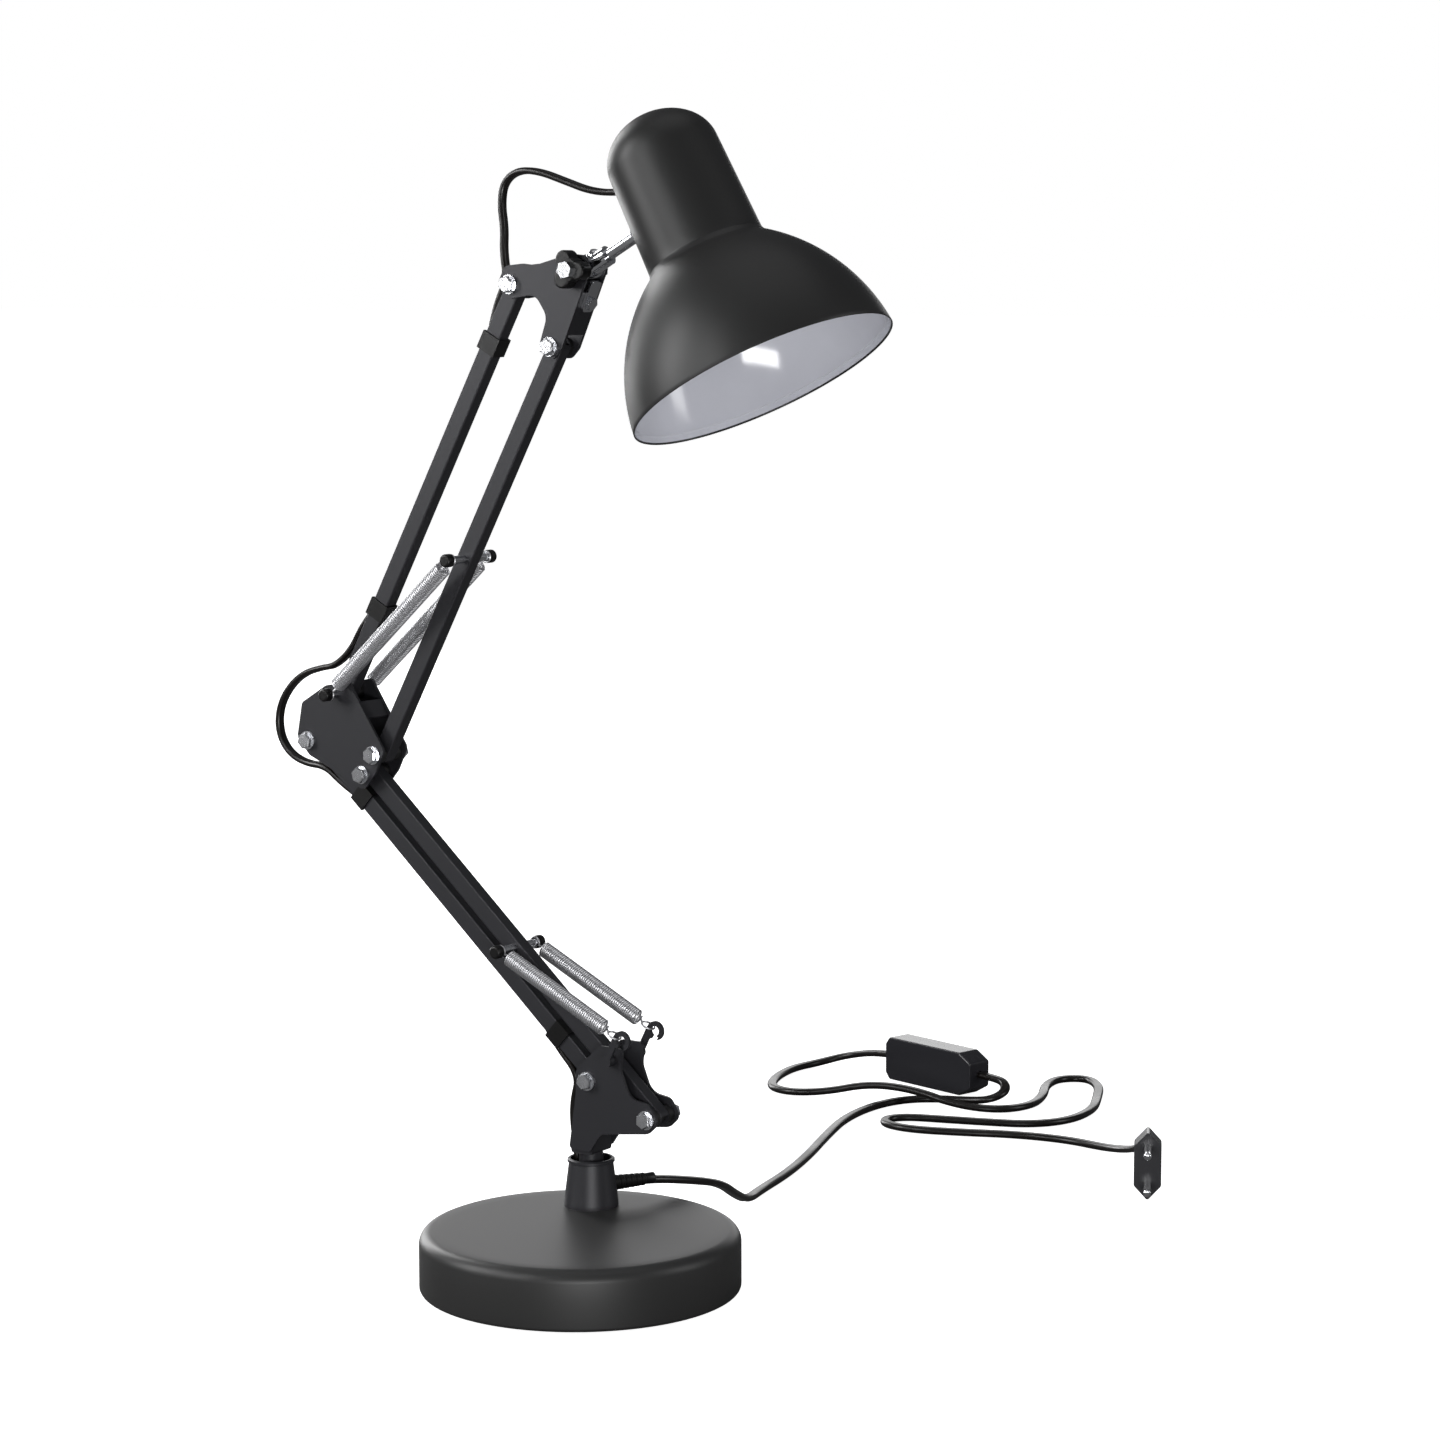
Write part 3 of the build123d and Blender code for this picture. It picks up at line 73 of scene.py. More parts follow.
# ---- node helpers and shared effects ------------------------------------------------------------
class NodeSheet:
    """A thin hand for laying out shader nodes in a material or a group."""

    def __init__(self, tree: bpy.types.NodeTree) -> None:
        """Starts on an emptied tree.

        Args:
            tree: the node tree that receives the nodes.
        """
        self.tree = tree
        tree.nodes.clear()

    def add(self, kind: str, **settings: object) -> bpy.types.Node:
        """Adds a node.

        Args:
            kind: the node's type name.
            settings: attributes set on the node.

        Returns:
            The new node.
        """
        node = self.tree.nodes.new(kind)
        for name, value in settings.items():
            setattr(node, name, value)
        return node

    def join(self, out_socket: bpy.types.NodeSocket, in_socket: bpy.types.NodeSocket) -> None:
        """Links two sockets.

        Args:
            out_socket: where the value comes from.
            in_socket: where it goes.
        """
        self.tree.links.new(out_socket, in_socket)

    def math(self, operation: str, *values: bpy.types.NodeSocket,
             clamp: bool = False) -> bpy.types.NodeSocket:
        """Adds a sum, product or other calculation.

        Args:
            operation: the calculation's name.
            values: sockets of its values, in order.
            clamp: whether the result is kept from 0 to 1.

        Returns:
            The result's socket.
        """
        node = self.add("ShaderNodeMath", operation=operation, use_clamp=clamp)
        for value, slot in zip(values, node.inputs):
            self.join(value, slot)
        return node.outputs[0]

    def blend(self, factor: bpy.types.NodeSocket, first: object, second: object) -> bpy.types.NodeSocket:
        """Mixes two colours, each a socket or three numbers.

        Args:
            factor: share of the second colour.
            first: the colour at 0.
            second: the colour at 1.

        Returns:
            The mixed colour's socket.
        """
        node = self.add("ShaderNodeMix", data_type="RGBA")
        for label, colour in (("A", first), ("B", second)):
            if isinstance(colour, tuple):
                node.inputs[label].default_value = (*colour, 1.0)
            else:
                self.join(colour, node.inputs[label])
        self.join(factor, node.inputs["Factor"])
        return node.outputs["Result"]

    def seen_or_lit(self, lit: bpy.types.Node, seen: bpy.types.Node, kind: str) -> None:
        """Shows one shader to the camera and another to every other ray.

        Args:
            lit: shader for all rays but the camera's.
            seen: shader for the camera's rays.
            kind: type name of the output node.
        """
        pick = self.add("ShaderNodeMixShader")
        self.join(self.add("ShaderNodeLightPath").outputs["Is Camera Ray"], pick.inputs["Fac"])
        self.join(lit.outputs[0], pick.inputs[1])
        self.join(seen.outputs[0], pick.inputs[2])
        self.join(pick.outputs[0], self.add(kind).inputs["Surface"])

    def noise(self, where: bpy.types.NodeSocket, scale: float, detail: float = 3.0) -> bpy.types.NodeSocket:
        """Adds a noise texture.

        Args:
            where: coordinates that the noise is read at.
            scale: features per metre.
            detail: octaves.

        Returns:
            The noise value's socket.
        """
        node = self.add("ShaderNodeTexNoise")
        node.inputs["Scale"].default_value = scale
        node.inputs["Detail"].default_value = detail
        self.join(where, node.inputs["Vector"])
        return node.outputs["Fac"]

    def remap(self, value: bpy.types.NodeSocket, low: float, high: float,
              from_low: float = 0.0, from_high: float = 1.0) -> bpy.types.NodeSocket:
        """Stretches a value to a new range.

        Args:
            value: the value's socket.
            low: result at from_low.
            high: result at from_high.
            from_low: where the old range starts.
            from_high: where the old range ends.

        Returns:
            The new value's socket.
        """
        node = self.add("ShaderNodeMapRange")
        node.inputs["From Min"].default_value = from_low
        node.inputs["From Max"].default_value = from_high
        node.inputs["To Min"].default_value = low
        node.inputs["To Max"].default_value = high
        self.join(value, node.inputs["Value"])
        return node.outputs["Result"]


def new_group(name: str, inputs: dict[str, float],
              outputs: Iterable[str]) -> tuple[NodeSheet, bpy.types.Node, bpy.types.Node]:
    """Makes an empty shader node group with number inputs and outputs.

    Args:
        name: the group's name.
        inputs: input names with their default values.
        outputs: output names.

    Returns:
        The sheet to draw on, the group's input node and its output node.
    """
    tree = bpy.data.node_groups.new(name, "ShaderNodeTree")
    for label, default in inputs.items():
        socket = tree.interface.new_socket(label, in_out="INPUT", socket_type="NodeSocketFloat")
        socket.default_value = default
    for label in outputs:
        tree.interface.new_socket(label, in_out="OUTPUT", socket_type="NodeSocketFloat")
    sheet = NodeSheet(tree)
    return sheet, sheet.add("NodeGroupInput"), sheet.add("NodeGroupOutput")


def grain_group() -> bpy.types.NodeTree:
    """Fine surface relief of paint or moulding: a height and a slow cloudiness.

    Returns:
        The node group, with Scale in features per metre and Unevenness from 0 to 1.
    """
    settings = {"Scale": 2500.0, "Unevenness": 0.3}
    sheet, given, result = new_group("surface_grain", settings, ["Height", "Cloud"])
    place = sheet.add("ShaderNodeTexCoord").outputs["Object"]
    fine = sheet.add("ShaderNodeTexNoise")
    fine.inputs["Detail"].default_value = 4.0
    fine.inputs["Roughness"].default_value = 0.62
    sheet.join(place, fine.inputs["Vector"])
    sheet.join(given.outputs["Scale"], fine.inputs["Scale"])
    broad = sheet.noise(place, 38.0, 4.0)
    height = sheet.math("MULTIPLY_ADD", broad, given.outputs["Unevenness"], fine.outputs["Fac"])
    sheet.join(height, result.inputs["Height"])
    sheet.join(broad, result.inputs["Cloud"])
    return sheet.tree


def dust_group() -> bpy.types.NodeTree:
    """Thin dust and handling marks: a mask, strongest on faces that look up.

    Returns:
        The node group, with Amount from 0 to 1.
    """
    sheet, given, result = new_group("light_dust", {"Amount": 0.3}, ["Mask"])
    geometry = sheet.add("ShaderNodeNewGeometry")
    split = sheet.add("ShaderNodeSeparateXYZ")
    sheet.join(geometry.outputs["Normal"], split.inputs[0])
    upward = sheet.remap(split.outputs["Z"], 0.25, 1.0, 0.0, 1.0)
    place = sheet.add("ShaderNodeTexCoord").outputs["Object"]
    specks = sheet.remap(sheet.noise(place, 900.0, 6.0), 0.0, 1.0, 0.52, 0.78)
    product = sheet.math("MULTIPLY", specks, upward)
    sheet.join(sheet.math("MULTIPLY", product, given.outputs["Amount"]), result.inputs["Mask"])
    return sheet.tree


def scuff_group() -> bpy.types.NodeTree:
    """Hair scratches and worn spots: a mask from stretched noise.

    Returns:
        The node group, with Amount from 0 to 1.
    """
    sheet, given, result = new_group("scuffs", {"Amount": 0.3}, ["Mask"])
    place = sheet.add("ShaderNodeTexCoord").outputs["Object"]
    stretch = sheet.add("ShaderNodeMapping")
    stretch.inputs["Scale"].default_value = (1.0, 0.16, 0.5)
    stretch.inputs["Rotation"].default_value = (0.4, 0.7, 0.2)
    sheet.join(place, stretch.inputs["Vector"])
    lines = sheet.remap(sheet.noise(stretch.outputs[0], 1300.0, 5.0), 0.0, 1.0, 0.66, 0.76)
    patches = sheet.remap(sheet.noise(place, 70.0, 2.0), 0.0, 1.0, 0.45, 0.7)
    product = sheet.math("MULTIPLY", lines, patches)
    sheet.join(sheet.math("MULTIPLY", product, given.outputs["Amount"]), result.inputs["Mask"])
    return sheet.tree


class Effects:
    """The shared node groups, each built once."""

    _built: dict[str, bpy.types.NodeTree] = {}
    _makers: dict[str, Callable[[], bpy.types.NodeTree]] = {
        "grain": grain_group, "dust": dust_group, "scuffs": scuff_group}

    @classmethod
    def place(cls, sheet: NodeSheet, name: str, **values: float) -> bpy.types.Node:
        """Places an effect in a material.

        Args:
            sheet: the material's sheet.
            name: the effect's name.
            values: input values of this use.

        Returns:
            The group node.
        """
        if name not in cls._built:
            cls._built[name] = cls._makers[name]()
        node = sheet.add("ShaderNodeGroup", node_tree=cls._built[name])
        for label, value in values.items():
            node.inputs[label].default_value = value
        return node


# ---- finishes -----------------------------------------------------------------------------------
@dataclass(frozen=True)
class Finish:
    """One surface finish, as a painter or plater would order it.

    Attributes:
        name: material name.
        colour: base colour.
        tint: colour of worn or dusty spots.
        rough: lowest and highest roughness.
        grain: grain features per metre.
        relief: grain height in metres.
        metallic: 1 for bare metal.
        coat: clear coat weight.
        dust: amount of dust.
        scuffs: amount of scratches.
        uneven: share of slow waviness in the relief.
        sheen: strength of plain reflections, half being usual.
    """

    name: str
    colour: tuple[float, float, float]
    tint: tuple[float, float, float] = (0.3, 0.3, 0.3)
    rough: tuple[float, float] = (0.35, 0.45)
    grain: float = 2500.0
    relief: float = 0.00002
    metallic: float = 0.0
    coat: float = 0.0
    dust: float = 0.2
    scuffs: float = 0.2
    uneven: float = 0.3
    sheen: float = 0.5

    def material(self) -> bpy.types.Material:
        """Builds the finish as a material, once.

        Returns:
            The material.
        """
        if self.name in bpy.data.materials:
            return bpy.data.materials[self.name]
        made = bpy.data.materials.new(self.name)
        made.use_nodes = True
        sheet = NodeSheet(made.node_tree)
        shader = sheet.add("ShaderNodeBsdfPrincipled")
        surface = sheet.add("ShaderNodeOutputMaterial")
        sheet.join(shader.outputs[0], surface.inputs["Surface"])
        shader.inputs["Metallic"].default_value = self.metallic
        shader.inputs["Coat Weight"].default_value = self.coat
        shader.inputs["Coat Roughness"].default_value = COAT_ROUGHNESS
        shader.inputs["Specular IOR Level"].default_value = self.sheen
        grain = Effects.place(sheet, "grain", Scale=self.grain, Unevenness=self.uneven)
        sheet.join(sheet.remap(grain.outputs["Cloud"], self.rough[0], self.rough[1], 0.3, 0.7),
                   shader.inputs["Roughness"])
        bump = sheet.add("ShaderNodeBump")
        bump.inputs["Distance"].default_value = self.relief
        sheet.join(grain.outputs["Height"], bump.inputs["Height"])
        sheet.join(bump.outputs[0], shader.inputs["Normal"])
        self.colour_into(sheet, shader.inputs["Base Color"], grain.outputs["Cloud"])
        return made

    def colour_into(self, sheet: NodeSheet, target: bpy.types.NodeSocket,
                    cloud: bpy.types.NodeSocket) -> None:
        """Mixes base colour, cloudiness, scratches and dust.

        Args:
            sheet: the material's sheet.
            target: the socket that takes the colour.
            cloud: slow unevenness from the grain.
        """
        deep = tuple(DEEP_SHARE * part for part in self.colour)
        clean = sheet.blend(cloud, deep, self.colour)
        scuffs = Effects.place(sheet, "scuffs", Amount=self.scuffs).outputs["Mask"]
        dust = Effects.place(sheet, "dust", Amount=self.dust).outputs["Mask"]
        marks = sheet.math("ADD", scuffs, dust, clamp=True)
        sheet.join(sheet.blend(marks, clean, self.tint), target)


class Look(Enum):
    """Every finish on the lamp."""

    ARM_PAINT = Finish("arm_paint", (0.0022, 0.002, 0.0021), (0.03, 0.029, 0.029), (0.3, 0.38),
                       2600.0, 0.000022, dust=0.1, scuffs=0.14, sheen=0.3)
    BASE_PAINT = Finish("base_paint", (0.0026, 0.0024, 0.0026), (0.05, 0.05, 0.052), (0.36, 0.44),
                        1900.0, 0.00007, dust=0.1, scuffs=0.06, uneven=0.2)
    SHADE_PAINT = Finish("shade_paint", (0.0022, 0.0019, 0.002), (0.02, 0.02, 0.02), (0.15, 0.19),
                         1500.0, 0.000006, coat=0.25, dust=0.02, scuffs=0.03, uneven=0.12)
    SHADE_ENAMEL = Finish("shade_enamel", (0.8, 0.81, 0.88), (0.7, 0.71, 0.78), (0.1, 0.16),
                          900.0, 0.000004, coat=0.4, dust=0.02, scuffs=0.01, uneven=0.1)
    ZINC = Finish("zinc_plate", (0.84, 0.85, 0.88), (0.42, 0.4, 0.36), (0.18, 0.3), 3200.0, 0.00003,
                  1.0, dust=0.25, scuffs=0.5)
    BRIGHT = Finish("bright_plate", (0.78, 0.79, 0.82), (0.5, 0.5, 0.52), (0.07, 0.16), 900.0, 0.000008,
                    1.0, dust=0.08, scuffs=0.25)
    SPRING_WIRE = Finish("spring_wire", (0.032, 0.03, 0.028), (0.02, 0.018, 0.016), (0.12, 0.2), 2600.0,
                         0.00001, 1.0, dust=0.2, scuffs=0.4)
    SATIN_PLASTIC = Finish("satin_plastic", (0.003, 0.0028, 0.0028), (0.035, 0.034, 0.034), (0.34, 0.44),
                           3000.0, 0.00002, dust=0.12, scuffs=0.12, sheen=0.35)
    GLOSS_PLASTIC = Finish("gloss_plastic", (0.006, 0.0052, 0.0047), (0.04, 0.038, 0.036), (0.18, 0.26),
                           1600.0, 0.000012, coat=0.3, dust=0.12, scuffs=0.1)
    LEAD_SHEATH = Finish("lead_sheath", (0.006, 0.0045, 0.004), (0.03, 0.026, 0.023), (0.26, 0.36),
                         1400.0, 0.00002, coat=0.06, dust=0.12, scuffs=0.12, sheen=0.4)
    PAD_RUBBER = Finish("pad_rubber", (0.02, 0.02, 0.02), (0.08, 0.08, 0.08), (0.75, 0.9), 1300.0,
                        0.00012, dust=0.4, scuffs=0.1)
    CAST_IRON = Finish("cast_iron", (0.12, 0.12, 0.12), (0.2, 0.13, 0.08), (0.55, 0.75), 700.0,
                       0.0002, 0.6, dust=0.3, scuffs=0.3)
    NYLON = Finish("black_nylon", (0.006, 0.006, 0.006), (0.05, 0.05, 0.05), (0.4, 0.55), 1500.0, 0.00002)
    STEEL = Finish("bare_steel", (0.45, 0.45, 0.46), (0.25, 0.22, 0.2), (0.3, 0.45), 2100.0, 0.00003,
                   1.0, scuffs=0.5)
    HOLDER = Finish("holder_moulding", (0.74, 0.74, 0.7), (0.5, 0.5, 0.45), (0.25, 0.4), 1100.0,
                    0.00002, dust=0.15)
    BRASS = Finish("contact_brass", (0.72, 0.52, 0.24), (0.4, 0.28, 0.12), (0.2, 0.35), 1800.0,
                   0.00002, 1.0, scuffs=0.4)


# ---- mesh helpers -------------------------------------------------------------------------------
def mesh_piece(name: str, points: Sequence[Sequence[float]], faces: Sequence[Sequence[int]],
               looks: Sequence[Look], slots: Sequence[int] | None = None,
               sharp: float = 40.0) -> bpy.types.Object:
    """Makes a smooth-shaded mesh object.

    Args:
        name: object name.
        points: vertex positions in metres.
        faces: vertex numbers of each face.
        looks: finishes, one per material slot.
        slots: material slot of each face, or None for the first.
        sharp: edges that turn more than this many degrees stay sharp.

    Returns:
        The linked object.
    """
    data = bpy.data.meshes.new(name)
    data.from_pydata([tuple(p) for p in points], [], [tuple(f) for f in faces])
    for look in looks:
        data.materials.append(look.value.material())
    data.shade_smooth()
    data.set_sharp_from_angle(angle=math.radians(sharp))
    if slots is not None:
        data.polygons.foreach_set("material_index", list(slots))
    data.validate()
    data.update()
    piece = bpy.data.objects.new(name, data)
    bpy.context.scene.collection.objects.link(piece)
    return piece


def arc(centre: Point2, radius: float, start: float, end: float, steps: int) -> Section:
    """Points of a circular arc.

    Args:
        centre: arc centre.
        radius: arc radius.
        start: first angle in degrees.
        end: last angle in degrees.
        steps: number of runs.

    Returns:
        The points, both ends included.
    """
    angles = [math.radians(start + (end - start) * i / steps) for i in range(steps + 1)]
    return [(centre[0] + radius * math.cos(a), centre[1] + radius * math.sin(a)) for a in angles]


def lathe(name: str, profile: Section, place: Matrix, looks: Sequence[Look],
          slot_of: Callable[[int], int] | None = None, steps: int = 128,
          closed: bool = True) -> bpy.types.Object:
    """Turns a profile of (radius, height) about the local Z axis.

    Args:
        name: object name.
        profile: the turned outline in metres; a radius of 0 closes on the axis.
        place: from the lathe's axis to the lamp's frame.
        looks: finishes.
        slot_of: material slot of a profile run, by its number.
        steps: facets round the axis.
        closed: whether the outline's end joins its start.

    Returns:
        The object.
    """
    points: list[Vector] = []
    rings: list[list[int]] = []
    for radius, height in profile:
        count = 1 if radius < AXIS_RADIUS else steps
        rings.append(list(range(len(points), len(points) + count)))
        for i in range(count):
            turn = 2 * math.pi * i / steps
            points.append(place @ Vector((radius * math.cos(turn), radius * math.sin(turn), height)))
    faces: list[list[int]] = []
    slots: list[int] = []
    runs = len(rings) if closed else len(rings) - 1
    for k in range(runs):
        low, high = rings[k], rings[(k + 1) % len(rings)]
        if len(low) == 1 and len(high) == 1:
            continue
        for i in range(steps):
            j = (i + 1) % steps
            corners = [low[i % len(low)], low[j % len(low)], high[j % len(high)], high[i % len(high)]]
            faces.append(list(dict.fromkeys(corners)))
            slots.append(slot_of(k) if slot_of else 0)
    return mesh_piece(name, points, faces, looks, slots)


def sweep(name: str, path: Sequence[Vector], section: Section, look: Look,
          side: Vector | None = None, level: bool = False) -> bpy.types.Object:
    """Draws a section along a path and closes both ends.

    Args:
        name: object name.
        path: centre line in metres.
        section: closed outline in metres; its first axis follows side.
        look: finish.
        side: fixed direction of the section's first axis, or None to carry it along the path.
        level: keeps that axis level instead, square to the path.

    Returns:
        The object.
    """
    points: list[Vector] = []
    across = side.copy() if side else Vector((0.3, 0.9, 0.1))
    for i, here in enumerate(path):
        tangent = (path[min(i + 1, len(path) - 1)] - path[max(i - 1, 0)]).normalized()
        if level:
            across = Vector((tangent.y, -tangent.x, 0.0)).normalized()
        elif side:
            across = side
        across = (across - tangent * across.dot(tangent)).normalized()
        up = tangent.cross(across)
        points += [here + across * a + up * b for a, b in section]
    count = len(section)
    faces = [list(range(count - 1, -1, -1))]
    for k in range(len(path) - 1):
        for i in range(count):
            j = (i + 1) % count
            faces.append([k * count + i, k * count + j, (k + 1) * count + j, (k + 1) * count + i])
    faces.append([(len(path) - 1) * count + i for i in range(count)])
    return mesh_piece(name, points, faces, [look])


def nurbs_line(name: str, points: Sequence[Vector], density: int = 10) -> list[Vector]:
    """Reads a route's smooth line.

    Args:
        name: name of the curve that is made and removed again.
        points: the route's control points.
        density: points per control point.

    Returns:
        The line's points in order.
    """
    data = bpy.data.curves.new(name, "CURVE")
    data.dimensions = "3D"
    data.resolution_u = density
    spline = data.splines.new("NURBS")
    spline.points.add(len(points) - 1)
    for knot, place in zip(spline.points, points):
        knot.co = (*place, 1.0)
    spline.order_u = 3
    spline.use_endpoint_u = True
    holder = bpy.data.objects.new(name, data)
    bpy.context.scene.collection.objects.link(holder)
    line = bpy.data.meshes.new_from_object(holder)
    found = [v.co.copy() for v in line.vertices]
    bpy.data.objects.remove(holder)
    bpy.data.meshes.remove(line)
    return found


def disc(radius: float, sides: int) -> Section:
    """A round section.

    Args:
        radius: its radius.
        sides: number of its points.

    Returns:
        The outline.
    """
    return [(radius * math.cos(2 * math.pi * i / sides), radius * math.sin(2 * math.pi * i / sides))
            for i in range(sides)]


def twin_section(width: float, height: float, groove: float, sides: int = 9) -> Section:
    """Outline of a flat twin lead: two round lobes with a shallow groove between them.

    Args:
        width: across both lobes.
        height: across one lobe.
        groove: depth of the groove on each face.
        sides: runs round each lobe.

    Returns:
        The outline, counter-clockwise.
    """
    lobe = height / 2
    shift = width / 2 - lobe
    right = arc((shift, 0.0), lobe, -80, 80, sides)
    left = arc((-shift, 0.0), lobe, 100, 260, sides)
    return right + [(0.0, lobe - groove)] + left + [(0.0, -lobe + groove)]


# ---- the linkage's pivots, read from the frame ---------------------------------------------------
class Linkage:
    """Pivot points of the arms in the lamp's frame."""

    def __init__(self, joints: Sequence[dict]) -> None:
        """Reads the joints.

        Args:
            joints: the frame's joint list.
        """
        at = {joint["name"]: Vector(joint["pos_m"]) for joint in joints}
        self.lower_rear = at["lower_arm"]
        self.lower_front = at["lower_link"]
        self.elbow_rear = at["elbow_level"]
        self.elbow_front = self.elbow_rear + self.lower_front - self.lower_rear
        self.upper_rear = at["upper_arm"]
        self.upper_front = at["upper_link"]
        self.head_rear = at["head_level"]
        self.head_front = self.head_rear + self.upper_front - self.upper_rear
        self.tilt = at["head_tilt"]
        swivel = next(joint for joint in joints if joint["name"] == "shade_swivel")
        self.rod_axis = Vector(swivel["axis"]).normalized()
        self.shade_up = Vector((-self.rod_axis.z, 0.0, self.rod_axis.x))
        self.post = at["base_swivel"]

    @staticmethod
    def between(first: Vector, last: Vector, distance: float, side: float = 0.0) -> Vector:
        """A point along the line from first to last, moved to its left in the arm's plane.

        Args:
            first: where the line starts.
            last: where it points.
            distance: metres from first.
            side: metres to the left.

        Returns:
            The point.
        """
        run = (last - first).normalized()
        return first + run * distance + Vector((-run.z, 0.0, run.x)) * side


LINKS = Linkage(frame["joints"])


def centre_of(*nodes: str) -> Vector:
    """Middle of the box round some CAD nodes.

    Args:
        nodes: the nodes' names.

    Returns:
        The middle.
    """
    corners = zip(*(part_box(node) for node in nodes))
    low, high = (Vector([pick(part) for part in zip(*ends)]) for pick, ends in zip((min, max), corners))
    return (low + high) / 2


def steer(piece: bpy.types.Object, body: str, slot: str, *nodes: str) -> None:
    """Rides a piece on a body and hides the CAD nodes that it stands for.

    Args:
        piece: the object.
        body: the CAD body that carries it.
        slot: the record's material slot; not used.
        nodes: replaced CAD nodes.
    """
    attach(piece, body)
    if nodes:
        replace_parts(piece, *nodes)
    LOG.info("%s rides on %s", piece.name, body)


# ---- base ---------------------------------------------------------------------------------------
@dataclass
class Base:
    """Weighted round base with its collar and strain relief.

    Attributes:
        shoulder: rounding between side and top.
        hem: tuck at the bottom edge.
        sheet: shell thickness.
        relief_length: length of the strain relief outside the collar.
        relief_hole: radius of the hole through it.
        relief_start: its flange's place along the lead, from the collar's wall.
        flange_r: radius of its flange.
        rib_r: radius of its first rib.
        rib_fall: how much the ribs' radius falls along it.
        rib_count: number of ribs.
    """

    shoulder: float = 6.0 * MM
    hem: float = 2.0 * MM
    sheet: float = 1.2 * MM
    relief_length: float = 21.0 * MM
    relief_hole: float = 1.5 * MM
    relief_start: float = -2.5 * MM
    flange_r: float = 4.2 * MM
    rib_r: float = 3.7 * MM
    rib_fall: float = 0.75 * MM
    rib_count: int = 6

    def shell(self) -> bpy.types.Object:
        """Spins the shell, with a soft shoulder and a tucked hem.

        Returns:
            The object.
        """
        low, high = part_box("base_shell")
        radius = (high.x - low.x) / 2
        top, bottom = high.z, low.z
        inner = radius - self.sheet
        profile: Section = [(0.0, top)]
        profile += [(radius * share, top) for share in (0.3, 0.6, 0.84)]
        profile += arc((radius - self.shoulder, top - self.shoulder), self.shoulder, 88, 4, 10)
        profile += [(radius, (top + bottom) / 2)]
        profile += arc((radius - self.hem, bottom + self.hem), self.hem, 0, -80, 6)
        profile += [(inner - self.hem, bottom), (inner, bottom + self.hem + self.sheet)]
        profile += [(inner, top - self.shoulder), (inner - self.shoulder, top - self.sheet)]
        profile += [(0.0, top - self.sheet)]
        return lathe("base_cover", profile, Matrix.Identity(4), [Look.BASE_PAINT], steps=192, closed=False)

    def relief(self, exit_point: Vector, out: Vector) -> bpy.types.Object:
        """Tapered strain relief with ribs round the lead.

        Args:
            exit_point: where the lead leaves the collar.
            out: direction of the lead there.

        Returns:
            The object.
        """
        place = Matrix.Translation(exit_point) @ out.to_track_quat("Z", "Y").to_matrix().to_4x4()
        start, end, hole = self.relief_start, self.relief_length, self.relief_hole
        profile: Section = [(hole, start), (self.flange_r, start), (self.flange_r, start + 1.2 * MM),
                            (self.rib_r, start + 1.5 * MM)]
        for i in range(self.rib_count):
            here = start + 2.2 * MM + (end - 4 * MM) * i / self.rib_count
            size = self.rib_r - self.rib_fall * i / self.rib_count
            groove = size - 0.4 * MM
            profile += [(size, here), (size, here + 1.7 * MM),
                        (groove, here + 2.0 * MM), (groove, here + 2.6 * MM)]
        profile += [(2.85 * MM, end - 0.4 * MM), (2.6 * MM, end), (hole, end)]
        return lathe("collar_strain_relief", profile, place, [Look.SATIN_PLASTIC], steps=32)

    def build(self, exit_point: Vector, out: Vector) -> None:
        """Builds and fits the base's own pieces.

        Args:
            exit_point: where the lead leaves the collar.
            out: direction of the lead there.
        """
        steer(self.shell(), "base", "base_paint", "base_shell")
        steer(self.relief(exit_point, out), "base", "black_plastic", "cord_grommet")


